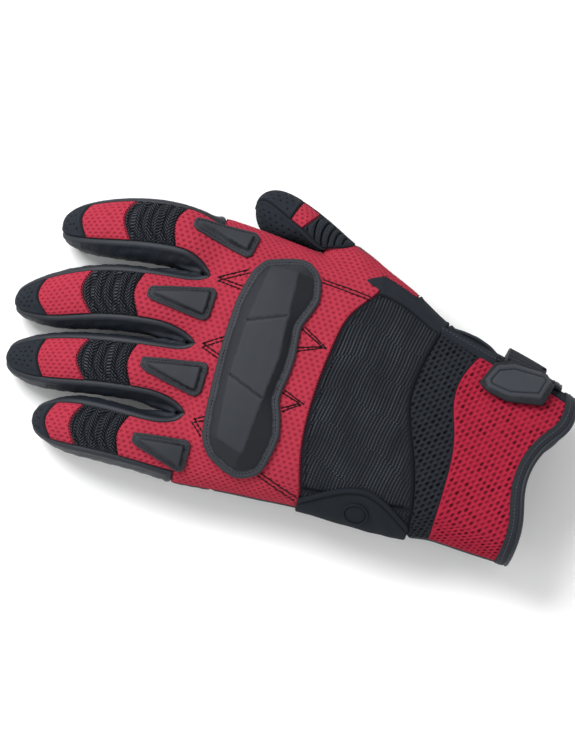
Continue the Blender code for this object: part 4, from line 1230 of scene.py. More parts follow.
def back_stitches(piece):
    for row in BACK_ROWS:
        row = np.array(row)
        tangents = unit(np.gradient(row, axis=0))
        normals = np.stack([-tangents[:, 1], tangents[:, 0]], 1)
        for offset in (-BACK_ROW_HALF_GAP, BACK_ROW_HALF_GAP):
            line_stitches(piece, row + normals * offset, THREAD, lift=0.14, pitch=1.7,
                          length=1.95, radius=0.34)


# suede tongue at the thumb web, (x, y)
TONGUE = ((40.2, -19.6), (41.6, -16.4), (42.4, -13.9), (43.9, -11.5), (45.6, -13.8),
          (46.9, -16.6), (48.2, -19.6), (47.4, -24.0), (43.0, -25.0), (40.8, -23.0))


def web_tongue(piece):
    def height(flat, inset):
        rise = 0.75 + edge_round(inset, 0.5) + 0.8
        return rise * smoothstep(flat[:, 1], -23.5, -18.0) - 0.8
    moulded(piece, rounded(TONGUE, 1, 0.6), [], height, SUEDE, spacing=0.6, bottom=-0.2,
            smooth=1.2)


shell_look("back_mesh_look", ("back_mesh", "back_mesh_front"), 5, back_uv, red_relief, RED,
           KNUCKLE, extra=back_stitches, flush=("thumb_side_mesh",), stitches=EDGE_STITCHES)
shell_look("thumb_side_mesh_look", ("thumb_side_mesh",), 5, back_uv, red_relief, RED, WRIST,
           flush=("back_mesh",), stitches=EDGE_STITCHES)
shell_look("palm_crease_look", ("palm_crease",), 4, tube_uv, crease_relief, LEATHER, KNUCKLE,
           stitches=dict(inset=1.9, pitch=1.7, length=1.25, radius=0.2))
shell_look("elastic_panel_look", ("elastic_panel",), 6, tube_uv, elastic_relief, ELASTIC, WRIST,
           flush=("side_flap",), stitches=dict(inset=2.4, length=1.3, pitch=1.7, radius=0.2))
shell_look("thumb_web_look", ("thumb_web_patch",), 5, tube_uv, suede_relief, SUEDE, WRIST,
           extra=web_tongue)
shell_look("wrist_palm_look", ("wrist_palm_stretch",), 5, tube_uv, pleat_relief, PLEAT, WRIST)
shell_look("palm_leather_look", ("palm_leather",), 4, tube_uv, leather_relief, LEATHER, WRIST,
           stitches=dict(inset=2.0))

# ---------------------------------------------------------------------- side flap
# A suede flap over the elastic on the little-finger side, with a covered round button.
# Upper edge of the flap: y, distance along SIDE_AXIS.
FLAP_EDGE = ((-6.9, -46.9), (-10.3, -44.9), (-14.1, -42.8), (-17.9, -40.7), (-22.1, -38.6),
             (-26.4, -37.0), (-31.4, -35.9), (-34.4, -35.8), (-37.1, -36.2), (-41.0, -37.7),
             (-45.0, -39.6), (-51.8, -44.0), (-55.2, -46.4))
FLAP_START_Y, FLAP_END_Y = -55.0, -7.4
FLAP_ROWS, FLAP_COLUMNS = 120, 34       # steps along y and down the side
FLAP_CENTRE = (-14.0, 22.0)             # x, z the flap's angles turn about
FLAP_THICKNESS, FLAP_GAP = 1.65, 0.25
FLAP_STITCH_INSET = 2.5

BUTTON_Y, BUTTON_SIDE = -32.2, -46.1
BUTTON_SIDES = 48
# radius, height, dark mask
BUTTON_PROFILE = np.array((
    (0.01, 2.35, 0.3), (2.0, 2.32, 0.3), (3.9, 2.2, 0.35), (4.25, 2.0, 0.9), (4.45, 1.95, 1.0),
    (4.7, 2.25, 0.5), (5.2, 2.3, 0.3), (5.5, 2.1, 0.4), (5.7, 1.6, 0.8), (5.75, 0.6, 1.0)))


def side_point(y, side):
    """Point and normal of the shell at a distance along SIDE_AXIS, seen along VIEW_AXIS."""
    level = SIDE_AXIS * side + Vector((0, y, 0))
    hit, normal, _, _ = SHELL.ray_cast(level + VIEW_AXIS * 120, -VIEW_AXIS)
    if hit is None:
        hit, normal, _, _ = SHELL.find_nearest(level + VIEW_AXIS * 24)
    return np.array(hit), np.array(normal)


def flap_angle(x, z):
    return np.arctan2(z - FLAP_CENTRE[1], x - FLAP_CENTRE[0]) % FULL_TURN


def flap_sheet(piece):
    edge = eased_line(FLAP_EDGE, 30)[::-1]
    rows = np.linspace(FLAP_START_Y, FLAP_END_Y, FLAP_ROWS + 1)
    edge_side = np.interp(rows, edge[:, 0], edge[:, 1])
    panel_points, _, panel_quads = patch(("side_flap",), 4)
    rim = panel_points[np.unique(border_edges(panel_quads))]
    rim_angle = flap_angle(rim[:, 0], rim[:, 2])
    base = np.zeros((FLAP_ROWS + 1, FLAP_COLUMNS + 1, 3))
    normals = np.zeros_like(base)
    for i, y in enumerate(rows):
        beside = np.abs(rim[:, 1] - np.clip(y, -52.0, -10.0)) < 2.0
        low_angle = rim_angle[beside].max() - 0.03
        edge_point, _ = side_point(y, edge_side[i])
        top_angle = flap_angle(edge_point[0], edge_point[2])
        for k in range(FLAP_COLUMNS + 1):
            angle = top_angle + (low_angle - top_angle) * (k / FLAP_COLUMNS) ** 1.5
            base[i, k], normals[i, k] = ring_point(y, angle, FLAP_CENTRE, reach=1.5, turn=0.04)
    steps = np.linalg.norm(np.diff(base, axis=1), axis=2)
    down = np.concatenate([np.zeros((len(rows), 1)), np.cumsum(steps, axis=1)], 1)
    along = np.repeat(rows[:, None], FLAP_COLUMNS + 1, 1)
    slope = np.gradient(edge_side, rows)
    from_top = down * np.cos(np.arctan(slope))[:, None]
    inset = np.minimum(np.minimum(from_top, along - rows[0]), rows[-1] - along)
    inset = np.minimum(inset, down[:, -1:] - down)
    thickness = (FLAP_THICKNESS + edge_round(inset, 0.7, 0.9) + 0.22 * bell(from_top, 1.2, 0.7)
                 - 0.28 * bell(from_top, FLAP_STITCH_INSET, 0.4)
                 + 0.10 * np.sin(along * 0.45 + 0.3 * down) * smoothstep(inset, 3, 7))
    mask = 0.28 + 0.6 * bell(from_top, FLAP_STITCH_INSET, 0.45) + 0.3 * (inset < 0.3)
    upper = base + normals * thickness[..., None]
    add_sheet(piece, upper, base + normals * FLAP_GAP, normals, SUEDE,
              uv=np.stack([down.ravel(), along.ravel()], 1),
              mask=np.concatenate([np.clip(mask.ravel(), 0, 1), np.full(mask.size, 0.6)]))
    stitched = range(4, FLAP_ROWS - 3)
    row = np.array([[np.interp(FLAP_STITCH_INSET, from_top[i], upper[i, :, c])
                     for c in range(3)] for i in stitched])
    row_stitches(piece, row, normals[list(stitched), 3], THREAD, lift=0.12, pitch=1.6,
                 length=1.15, radius=0.19)


def flap_and_button(piece):
    flap_sheet(piece)
    centre, normal = side_point(BUTTON_Y, BUTTON_SIDE)
    level = np.cross(normal, (0, 1, 0))
    level /= np.linalg.norm(level)
    square = np.cross(normal, level)
    square /= np.linalg.norm(square)
    angles = (FULL_TURN * np.arange(BUTTON_SIDES) / BUTTON_SIDES)[:, None]
    circle = level * np.cos(angles) + square * np.sin(angles)
    radius, height, mask = BUTTON_PROFILE.T
    vertices = (centre + circle * radius[:, None, None]
                + normal * height[:, None, None]).reshape(-1, 3)
    quads = grid_quads(len(radius), BUTTON_SIDES, close_columns=True)[:, TURNED_OVER]
    piece.add(vertices, facing(vertices, quads, normal), SUEDE, uv=vertices[:, :2],
              mask=np.repeat(mask, BUTTON_SIDES))


shell_look("side_flap_look", ("side_flap",), 6, tube_uv, elastic_relief, ELASTIC, WRIST,
           nodes=("side_flap", "flap_button"), flush=("elastic_panel",), extra=flap_and_button)

# ------------------------------------------------------------------- cuff panels
CUFF_DEPTH = 1.7
CUFF_PANELS = ("air_mesh_panel", "cuff_mesh", "cuff_palm", "cuff_gusset")

shell_look("air_mesh_look", ("air_mesh_panel",), 6, tube_uv, air_relief(depth=0.75, tone=1.0),
           AIR, "cuff", depth=CUFF_DEPTH)
shell_look("cuff_mesh_look", ("cuff_mesh",), 6, tube_uv, air_relief(depth=0.5, tone=0.85),
           CUFF_RED, "cuff", depth=CUFF_DEPTH)
shell_look("cuff_palm_look", ("cuff_palm",), 4, tube_uv, leather_relief, LEATHER, "cuff",
           depth=CUFF_DEPTH, stitches=dict(inset=2.0))


def cuff_lining():
    points, normals, quads = patch(CUFF_PANELS, 4)
    border, wall = border_wall(quads)
    across, along = tube_uv(points)
    uv = np.stack([across, along], 1)
    inset = distance_to(points, points[border])
    outer_depth = 1.9 + 0.4 * (1 - np.clip(inset / 2, 0, 1))
    inner_depth = 2.75 + 0.12 * np.sin(across * 0.9) * np.sin(along * 0.7)
    piece = Piece("cuff_lining_look")
    piece.add(points - normals * outer_depth[:, None], quads, LINING, uv=uv)
    piece.add(points - normals * inner_depth[:, None], quads[:, ::-1], LINING, uv=uv)
    piece.add(np.concatenate([points[border] - normals[border] * depth
                              for depth in (2.3, 2.75)]), wall, LINING)
    return piece.build()


attach(cuff_lining(), ("cuff_lining",), "cuff")


# ------------------------------------------------------------------------ digits
def digit_looks(digit):
    thumb = digit == "thumb"
    # blend arguments for the joint: places between the inner ends of its panels' border
    points, _, quads = patch((digit + "_accordion", digit + "_bend_leather"), 4)
    start, end = DIGIT_LINES[digit][1], DIGIT_LINES[digit][3]
    axis = (end - start) / np.linalg.norm(end - start)
    along = (points[np.unique(border_edges(quads))] - start) @ axis
    middle = 0.5 * (along.min() + along.max())
    low, high = along[along < middle].max(), along[along > middle].min()
    root, tip = ("hand", "thumb_tip") if thumb else ("finger_row", digit + "_tip")
    bend = (root, tip, tuple((start + axis * low) * MM), tuple((start + axis * high) * MM))

    skin, hide, skin_level = ((punched_relief, SUEDE, 5) if thumb
                              else (leather_relief, LEATHER, 4))
    joint, joint_cloth = (rib_relief, RIB_KNIT) if thumb else (pleat_relief, PLEAT)
    base_joins = () if thumb else (digit + "_base_leather",)
    for part, panel, level, relief, mat, hold, flush, stitches in (
            ("_accordion", "_accordion", 6, joint, joint_cloth, bend, (), None),
            ("_bend", "_bend_leather", skin_level, skin, hide, bend,
             (digit + "_tip_leather",) + base_joins, None),
            ("_base", "_base_leather", 4, leather_relief if thumb else snug_relief, LEATHER,
             root, () if thumb else (digit + "_bend_leather",), None),
            ("_mesh", "_mesh", 5, red_relief, RED, tip, (), EDGE_STITCHES),
            ("_tip_cap", "_tip_cap", 5, punched_relief, SUEDE, tip, (), None),
            ("_tip", "_tip_leather", skin_level, skin, hide, tip,
             (digit + "_bend_leather",), None)):
        shell_look(digit + part + "_look", (digit + panel,), level, partial(digit_uv, digit),
                   relief, mat, hold, flush=flush, stitches=stitches)


for digit in ("index", "middle", "ring", "pinky", "thumb"):
    digit_looks(digit)

# ----------------------------------------------------------------- knuckle guard
# outlines, (x, y)
GUARD = ((40.4, 31.7), (42.7, 25.2), (44.6, 17.7), (44.3, 13.2), (41.7, 9.4), (38.3, 6.9),
         (33.8, 5.7), (28.6, 5.0), (23.2, 6.7), (16.3, 9.6), (11.8, 9.4), (3.4, 8.7),
         (-4.2, 9.2), (-12.2, 10.5), (-16.2, 10.7), (-21.7, 8.5), (-29.8, 6.6), (-35.5, 7.3),
         (-43.6, 9.2), (-47.1, 11.3), (-49.5, 16.1), (-50.3, 20.9), (-48.7, 26.3),
         (-45.1, 33.3), (-40.9, 36.6), (-36.3, 38.1), (-27.4, 38.9), (-16.0, 39.5),
         (0.1, 39.7), (10.2, 39.4), (20.3, 38.8), (27.9, 37.2), (34.7, 35.4))
PLATEAU = np.array(((36.7, 28.1), (37.1, 16.7), (18.7, 15.9), (0.3, 15.0), (-15.9, 17.1),
                    (-39.8, 19.8), (-36.3, 31.2), (-13.6, 32.8), (12.4, 31.7)))
ENGRAVED = (((12.9, 31.8), (18.6, 16.3)), ((-10.6, 32.8), (-17.0, 17.4)))
GUARD_FLANGE = 1.7              # thickness of the rim
GUARD_FLANGE_WIDTH = 3.3
GUARD_STITCH_INSET = 1.9
# painted shade: slopes that fall this way, to the wrist and away from the key light, are darkened
# in the colour of the knuckle guard and finger pads
PAINTED_SHADE_WAY = np.array((-0.33, -0.94))   # slopes falling this way, to the wrist, are darker


def wristward_painted_shade(flat):
    """Share of painted shade: 0 where the nearest side of the plateau slopes to the fingers, 1
    where it slopes to the wrist, away from the key light.
    """
    ends = np.roll(PLATEAU, -1, axis=0)
    sides = ends - PLATEAU
    outward = unit(np.stack([sides[:, 1], -sides[:, 0]], 1))
    from_centre = (PLATEAU + ends) / 2 - PLATEAU.mean(0)
    outward *= np.where((from_centre * outward).sum(1) > 0, 1, -1)[:, None]
    best, result = np.full(len(flat), 1e9), np.zeros(len(flat))
    for start, end, normal in zip(PLATEAU, ends, outward):
        distance = poly_dist(flat, (start, end), closed=False)
        near = distance < best
        best[near] = distance[near]
        result[near] = normal @ PAINTED_SHADE_WAY
    return smoothstep(result, -0.35, 0.75)


def knuckle_guard():
    piece = Piece("knuckle_guard_look")
    outline = rounded(GUARD, 4, 0.8)
    plateau = rounded(PLATEAU, 2, 0.8)
    lines = (inset_lines(outline, (0.35, 0.8, 1.5, 2.3, 3.3, 3.7)) + [(plateau, True)]
             + inset_line(plateau, 0.35)
             + [(densify(line, 0.7, closed=False), False) for line in ENGRAVED])

    def on_plateau(flat):
        distance = poly_dist(flat, plateau)
        return distance, inside(flat, plateau) | (distance < 1e-3)

    def height(flat, inset):
        distance, within = on_plateau(flat)
        flange = (GUARD_FLANGE + edge_round(inset, 0.8)
                  - 0.4 * bell(inset, GUARD_STITCH_INSET, 0.45))
        t = np.clip((inset - 3.4) / np.maximum(inset - 3.4 + distance, 1e-6), 0, 1)
        slope = (GUARD_FLANGE + 0.25 * smoothstep(inset, GUARD_FLANGE_WIDTH, 3.6)
                 + 2.65 * t ** 0.92)
        top = (4.7 + 0.25 * smoothstep(distance, 0.0, 6.0)
               - 0.1 * (1 - smoothstep(distance, 0.0, 0.4)))
        for line in ENGRAVED:
            top = top - 0.85 * bell(poly_dist(flat, line, closed=False), 0.0, 0.6)
        return np.where(within, top, np.where(inset > GUARD_FLANGE_WIDTH, slope, flange))

    # Dark mask of the guard: an even rim, a mid-dark plateau with dark engraved lines and a
    # lighter band beside them, a dark line along the plateau edge that is left out on the shaded
    # side, and one at the foot of the slope. The slopes are darker than the plateau and darker
    # still where they fall to the wrist: painted shade for the key light on the facets.
    def mask(flat, inset):
        distance, within = on_plateau(flat)
        painted_shade = wristward_painted_shade(flat)
        # painted shade: slopes darker than the plateau, darkest where they fall to the wrist
        dark = np.where(within, 0.45, 0.70 + 0.24 * painted_shade)
        dark = np.maximum(dark, 0.55 * bell(distance, 0, 0.3) * (1 - painted_shade))
        for line in ENGRAVED:
            away = poly_dist(flat, line, closed=False)
            dark = np.maximum(dark - 0.25 * bell(away, 1.0, 0.4) * within,
                              bell(away, 0, 0.62))
        dark = np.where(inset < GUARD_FLANGE_WIDTH, 0.22 + 0.2 * (inset < 0.9), dark)
        return np.maximum(dark, bell(inset, 3.35, 0.28))

    moulded(piece, outline, lines, height, RUBBER, spacing=0.75, mask=mask, smooth=2.4)
    outline_stitches(piece, outline, GUARD_STITCH_INSET, lift=1.45, pitch=1.45, length=1.1,
                     radius=0.22)
    return piece.build()


attach(knuckle_guard(), ("knuckle_guard",), "hand")

# ------------------------------------------------------------------- finger pads
# outlines, (x, y)
FINGER_PADS = {
    "index_pad": ((47.2, 64.7), (50.5, 64.3), (51.0, 61.1), (51.2, 38.1), (49.5, 35.8),
                  (40.7, 37.5), (39.7, 39.8), (45.8, 63.2)),
    "middle_pad": ((17.0, 75.6), (13.2, 75.8), (12.1, 73.0), (9.1, 50.2), (10.9, 48.0),
                   (22.1, 47.3), (23.8, 49.3), (17.8, 74.5)),
    "ring_pad": ((-12.3, 70.8), (-16.0, 70.7), (-17.5, 68.2), (-22.6, 45.2), (-20.5, 43.0),
                 (-9.0, 42.7), (-7.7, 44.5), (-11.9, 69.7)),
    "pinky_pad": ((-43.6, 65.8), (-47.1, 66.1), (-48.6, 63.5), (-53.9, 44.4), (-52.8, 41.7),
                  (-42.3, 41.4), (-40.7, 43.4), (-43.3, 64.6)),
}
PAD_FLANGE_WIDTH, PAD_STITCH_INSET = 1.9, 1.05


def finger_pad(name, corners):
    piece = Piece(name + "_look")
    outline = rounded(corners, 2, 0.7)
    centre = np.array(corners).mean(0)

    def height(flat, inset):
        flange = 1.3 + edge_round(inset, 0.7) - 0.25 * bell(inset, PAD_STITCH_INSET, 0.3)
        rise = np.clip((inset - PAD_FLANGE_WIDTH) / 1.1, 0, 1)
        y = flat[:, 1]
        t = (y - y.min()) / (y.max() - y.min())
        return flange + rise * (1.9 + 0.5 * np.sin(HALF_TURN * np.clip(t, 0, 1))
                                - 0.35 * (1 - t))

    # Dark mask of a pad: an even flange; the sloping sides darker than the top, and the whole pad
    # darker toward the wrist side: painted shade for the key light.
    def mask(flat, inset):
        painted_shade = smoothstep((flat - centre) @ PAINTED_SHADE_WAY, 0.0, 6.0)
        body = np.where(inset < 2.9, 0.6 + 0.4 * painted_shade, 0.30 + 0.1 * painted_shade)
        return np.where(inset < PAD_FLANGE_WIDTH, 0.45, body)

    moulded(piece, outline, inset_lines(outline, (0.3, 0.7, PAD_FLANGE_WIDTH, 3.0)), height,
            RUBBER, spacing=0.6, mask=mask)
    outline_stitches(piece, outline, PAD_STITCH_INSET, lift=1.15, pitch=1.4, length=1.05,
                     radius=0.18)
    return piece.build()


for name, corners in FINGER_PADS.items():
    attach(finger_pad(name, corners), (name,), "finger_row")

# --------------------------------------------------------------------- palm pads
# outlines, (x, y)
HEEL_PAD = ((20.0, 7.0), (24.0, -4.0), (22.0, -20.0), (15.0, -29.0), (3.0, -32.0),
            (-14.0, -31.0), (-26.0, -27.0), (-31.0, -14.0), (-30.0, 0.0), (-24.0, 8.0),
            (-4.0, 11.0), (10.0, 10.5))
OUTER_PAD = ((-33.0, -6.0), (-30.5, 6.0), (-31.5, 19.0), (-37.0, 22.5), (-44.0, 18.0),
             (-46.0, 4.0), (-43.5, -10.0), (-37.0, -12.0))


def palm_heel_pad():
    """Pad whose lower face is flat, just above z = 0, with a stitch groove and a recessed
    net between round studs."""
    piece = Piece("palm_heel_pad_look")
    outline = rounded(HEEL_PAD, 4, 0.9)
    flat, triangles = region(outline, inset_lines(outline, (0.4, 0.9, 1.6, 2.4)), 0.9)
    inset = poly_dist(flat, outline)
    positions, normals = shell_above(flat, 1.6, down=True)
    dx, dy = lattice(flat[:, 0], flat[:, 1], 5.0, 5.8)
    net = smoothstep(inset, 4.2, 5.0) * smoothstep(np.sqrt(dx ** 2 + dy ** 2), 1.9, 2.3)
    z = 0.02 - edge_round(inset, 0.9, 1.6) + 0.35 * bell(inset, 3.2, 0.4) + 0.25 * net
    low = np.column_stack([flat, z])
    top = positions + normals * CLEAR
    border, wall = border_wall(triangles[:, ::-1])
    piece.add(low, triangles[:, ::-1], RUBBER, uv=flat, mask=0.4 + 0.6 * net)
    piece.add(np.concatenate([low[border], top[border]]), wall, RUBBER,
              uv=np.concatenate([flat[border]] * 2), mask=np.full(2 * len(border), 0.8))
    piece.add(top, triangles, RUBBER, uv=flat, mask=np.full(len(flat), 0.8))
    return piece.build()


def palm_outer_pad():
    piece = Piece("palm_outer_pad_look")
    outline = rounded(OUTER_PAD, 3, 0.9)

    def height(_, inset):
        return (1.5 + edge_round(inset, 0.9) + 0.7 * smoothstep(inset, 2.2, 3.2)
                - 0.3 * bell(inset, 1.6, 0.35))
    moulded(piece, outline, inset_lines(outline, (0.4, 0.9, 2.2, 3.2)), height, RUBBER,
            spacing=0.8, down=True, mask=lambda _, inset: np.where(inset < 3.0, 0.85, 0.2))
    outline_stitches(piece, outline, 1.6, lift=1.3, pitch=2.3, length=1.6, radius=0.26,
                     down=True)
    return piece.build()


attach(palm_heel_pad(), ("palm_heel_pad",), "hand")
attach(palm_outer_pad(), ("palm_outer_pad",), "hand")

# ------------------------------------------------------------------------- strap
# outlines, (x, y)
TAB = ((22.1, -72.0), (12.7, -67.8), (11.1, -69.2), (9.5, -72.6), (7.7, -81.1), (9.7, -95.5),
       (11.9, -96.7), (20.5, -98.7), (22.1, -93.2), (25.0, -93.5), (25.8, -78.8), (23.4, -77.4))
TAB_RAISED = ((20.7, -72.9), (14.0, -69.5), (10.6, -71.6), (9.0, -81.1), (11.3, -94.6),
              (19.7, -96.9), (22.4, -94.0), (23.0, -80.0))
# hook and loop patches, before they shrink toward their middle
TAB_PATCH = ((20.2, -72.2), (12.7, -67.8), (11.1, -69.2), (9.5, -72.6), (7.7, -81.1),
             (9.7, -95.0), (11.9, -96.4), (18.4, -97.6), (19.4, -93.2), (20.4, -87.0),
             (21.2, -79.0))
PATCH_MIDDLE = (15.3, -83.0)
PATCH_SCALE = (0.8, 0.84)


def strap_tab():
    piece = Piece("strap_tab_look")
    outline = rounded(TAB, 1, 0.5)
    raised = rounded(TAB_RAISED, 1, 0.6)
    chamfer, groove_inset = 0.8, 2.4

    def height(flat, inset):
        distance = poly_dist(flat, raised)
        rise = np.clip(distance / chamfer, 0, 1) - 0.5 * bell(distance, groove_inset, 0.28)
        return 1.2 + edge_round(inset, 0.5) + np.where(inside(flat, raised), rise, 0.0)

    def mask(flat, _):
        within = inside(flat, raised)
        distance = poly_dist(flat, raised)
        dark = np.where(within, np.where(distance < 0.75, 0.6, 0.0), 0.9)
        return np.maximum(dark, 0.9 * bell(distance, groove_inset, 0.3) * within)

    lines = (inset_line(outline, 0.3) + [(raised, True)]
             + inset_lines(raised, (chamfer, groove_inset)))
    moulded(piece, outline, lines, height, RUBBER, spacing=0.5, bottom=CLEAR + 2.0, mask=mask,
            smooth=2.6)
    return piece.build()


def nap_patch(name, bottom, thickness, pitch, tuft):
    """Patch with a lattice of tufts (pits where `tuft` is negative)."""
    piece = Piece(name + "_look")
    (mid_x, mid_y), (scale_x, scale_y) = PATCH_MIDDLE, PATCH_SCALE
    outline = rounded([(mid_x + (x - mid_x) * scale_x, mid_y + (y - mid_y) * scale_y)
                       for x, y in TAB_PATCH], 2, 0.8)

    def height(flat, inset):
        dx, dy = lattice(flat[:, 0], flat[:, 1], pitch, pitch * 1.15)
        tufts = np.exp(-((dx ** 2 + dy ** 2) / (0.3 * pitch) ** 2))
        return thickness + tuft * tufts * smoothstep(inset, 0.5, 1.0)
    moulded(piece, outline, [], height, NAP, spacing=0.34, bottom=bottom, smooth=2.0,
            mask=lambda flat, _: np.full(len(flat), 0.5))
    return piece.build()


WRAP_CENTRE = (-13.0, 25.0)     # x, z the strap's angles turn about


def wrap_part(name, y_range, degrees, steps, relief, mat):
    """Band around the cuff between two y and two angles, with `steps` in each direction;
    relief(along y, around, inset) gives its thickness and mask."""
    piece = Piece(name + "_look")
    (start_y, end_y), (start_angle, end_angle) = y_range, degrees
    rows, columns = (np.linspace(0, 1, count + 1) for count in steps)
    base = np.zeros((len(rows), len(columns), 3))
    normals = np.zeros_like(base)
    for i, s in enumerate(rows):
        for k, t in enumerate(columns):
            angle = math.radians(start_angle + (end_angle - start_angle) * t)
            base[i, k], normals[i, k] = ring_point(start_y + (end_y - start_y) * s, angle,
                                                   WRAP_CENTRE, reach=1.2, turn=0.03)
    width = abs(end_y - start_y)
    arc = np.linalg.norm(np.diff(base[steps[0] // 2], axis=0), axis=1).sum()
    along, around = np.meshgrid(rows * width, columns * arc, indexing="ij")
    inset = np.minimum(np.minimum(along, width - along), np.minimum(around, arc - around))
    thickness, mask = relief(along, around, inset)
    thickness = np.maximum(thickness + edge_round(inset, 0.6), 0.1)
    add_sheet(piece, base + normals * (CLEAR + thickness)[..., None], base + normals * CLEAR,
              normals, mat, uv=np.stack([around.ravel(), along.ravel()], 1),
              mask=np.concatenate([mask.ravel()] * 2))
    return piece.build()


def grip_relief(along, around, _):
    """Ribs across the grip, which thins out toward its last angle."""
    pitch, depth, thickness = 1.75, 1.2, 4.2
    valley = 1 - (0.5 + 0.5 * np.cos(FULL_TURN * (around - 0.5 * around.max()) / pitch))
    fade = smoothstep(np.minimum(along, along.max() - along), 0.5, 1.2)
    top = thickness + edge_round(around.max() - around, 1.9, 7.0)
    return top - depth * valley * fade, 0.9 * valley * fade


def strap_relief(thickness, stitch_inset):
    """Plain strap with a groove along its edge."""
    def relief(_, __, inset):
        line = bell(inset, stitch_inset, 0.4)
        return thickness - 0.3 * line, 0.4 * line
    return relief


attach(strap_tab(), ("strap_tab",), "strap")
attach(nap_patch("loop_patch", bottom=CLEAR, thickness=0.45, pitch=1.1, tuft=0.2),
       ("loop_patch",), "cuff")
attach(nap_patch("hook_patch", bottom=CLEAR + 1.0, thickness=0.35, pitch=1.0, tuft=-0.2),
       ("hook_patch",), "strap")
# the band runs on under the grip
attach(wrap_part("strap_band", y_range=(-76.0, -94.0), degrees=(-66.0, 3.6), steps=(36, 102),
                 relief=strap_relief(thickness=1.6, stitch_inset=1.6), mat=LEATHER),
       ("strap_band",), ("cuff", "strap", (0.0314, -0.0855, 0.0205), (0.0314, -0.0855, 0.0265)))
attach(wrap_part("strap_grip", y_range=(-76.0, -93.4), degrees=(1.0, 15.5), steps=(40, 90),
                 relief=grip_relief, mat=RUBBER_DARK), ("strap_grip",), "strap")
attach(wrap_part("strap_keeper", y_range=(-97.5, -102.0), degrees=(-16.0, 14.0), steps=(12, 50),
                 relief=strap_relief(thickness=2.0, stitch_inset=1.1), mat=LEATHER),
       ("strap_keeper",), "cuff")

# ------------------------------------------------------- cuff gusset and slit edge
# edges of the suede band beside the slit and of the fold standing out from it, (x, y)
SLIT_OUTER = ((33.6, -46.4), (31.4, -55.7), (29.5, -64.4), (28.2, -70.0), (27.2, -74.6))
SLIT_INNER = ((30.6, -47.0), (28.2, -54.0), (25.6, -62.0), (23.4, -69.5), (22.4, -74.0))
FOLD_EDGE = ((33.9, -47.6), (34.3, -51.5), (34.1, -57.0), (33.2, -63.0), (31.0, -69.0),
             (27.0, -74.8))
SLIT_ROWS = 60
BAND_COLUMNS, FOLD_COLUMNS = 8, 12
BAND_LOW, BAND_THICKNESS = -0.3, 1.5
FOLD_EDGE_Z = (29.5, 28.5)      # first and last height of the fold's free edge
FOLD_SAG, FOLD_THICKNESS = 2.2, 1.1
CORD_RADIUS, CORD_SIDES = 0.85, 10


def slit_points(line):
    points, _ = polyline_points(densify(line, 0.5, closed=False), 0.45)
    return points[np.linspace(0, len(points) - 1, SLIT_ROWS).astype(int)]


def between(first, second, t):
    """Grid of points from each row of `first` to the same row of `second`."""
    return (first[:, None, :] * (1 - t)[None, :, None]
            + second[:, None, :] * t[None, :, None])


def slit_band(piece):
    t = np.linspace(0, 1, BAND_COLUMNS)
    flat = between(slit_points(SLIT_OUTER), slit_points(SLIT_INNER), t).reshape(-1, 2)
    positions, normals = shell_above(flat, 1.0)
    profile = BAND_THICKNESS * np.sqrt(np.clip(1 - (2 * t - 1) ** 4, 0, 1))
    from_end = np.minimum(np.arange(SLIT_ROWS), np.arange(SLIT_ROWS)[::-1]) / 3.0
    taper = np.clip(np.sqrt(np.clip(from_end, 0, 1)), 0.05, 1)
    height = BAND_LOW + profile[None, :] * taper[:, None]
    shape = (SLIT_ROWS, BAND_COLUMNS, 3)
    add_sheet(piece, (positions + normals * height.reshape(-1)[:, None]).reshape(shape),
              (positions + normals * BAND_LOW).reshape(shape), normals, SUEDE, uv=flat)
    middle = (np.array(SLIT_OUTER) + np.array(SLIT_INNER)) / 2
    line_stitches(piece, middle, GREY_THREAD, lift=1.22, pitch=1.7, length=1.2, radius=0.16)


def edge_cord(piece, line):
    """Round leather cord with closed ends."""
    count = len(line)
    tangents = unit(np.gradient(line, axis=0))
    up = unit(square_to(np.tile([0.0, 0.0, 1.0], (count, 1)), tangents))
    side = np.cross(tangents, up)
    angles = np.arange(CORD_SIDES) * FULL_TURN / CORD_SIDES
    rings = (line[:, None] + side[:, None] * np.cos(angles)[:, None] * CORD_RADIUS
             + up[:, None] * np.sin(angles)[:, None] * CORD_RADIUS)
    lengths = np.linalg.norm(np.diff(line, axis=0), axis=1)
    along = np.concatenate([[0], np.cumsum(lengths)])
    uv = np.stack([np.repeat(along, CORD_SIDES), np.tile(angles * CORD_RADIUS, count)], 1)
    quads = grid_quads(count, CORD_SIDES, close_columns=True)[:, TURNED_OVER]
    piece.add(rings.reshape(-1, 3), quads, LEATHER, uv=uv)
    fan = np.array([(k, (k + 1) % CORD_SIDES, CORD_SIDES) for k in range(CORD_SIDES)])
    for end, faces in ((0, fan), (-1, fan[:, ::-1])):
        cap = np.vstack([rings[end], line[end]])
        piece.add(cap, faces, LEATHER, uv=cap[:, :2])


def slit_fold(piece):
    """Folded suede standing out beside the slit, down to the strap."""
    outer = eased_line(FOLD_EDGE, 10)
    at = np.linspace(0, len(outer) - 1, SLIT_ROWS)
    free_edge = np.stack([np.interp(at, np.arange(len(outer)), outer[:, c]) for c in (0, 1)]
                         + [np.linspace(*FOLD_EDGE_Z, SLIT_ROWS)], 1)
    root, normals = shell_above(slit_points(SLIT_OUTER) - np.array([0.6, 0.0]), 1.0)
    t = np.linspace(0, 1, FOLD_COLUMNS)
    upper = between(root + normals * 0.5, free_edge, t)
    upper[..., 2] -= (FOLD_SAG * np.sin(HALF_TURN * t)[None, :]
                      * np.sin(HALF_TURN * np.linspace(0, 1, SLIT_ROWS))[:, None])
    lower = upper - np.array([0.0, 0.0, FOLD_THICKNESS])
    add_sheet(piece, upper, lower, np.broadcast_to([0.0, 0.0, 1.0], upper.shape), SUEDE,
              uv=upper.reshape(-1, 3)[:, :2])
    edge_cord(piece, free_edge + np.array([0.0, 0.0, -0.3]))


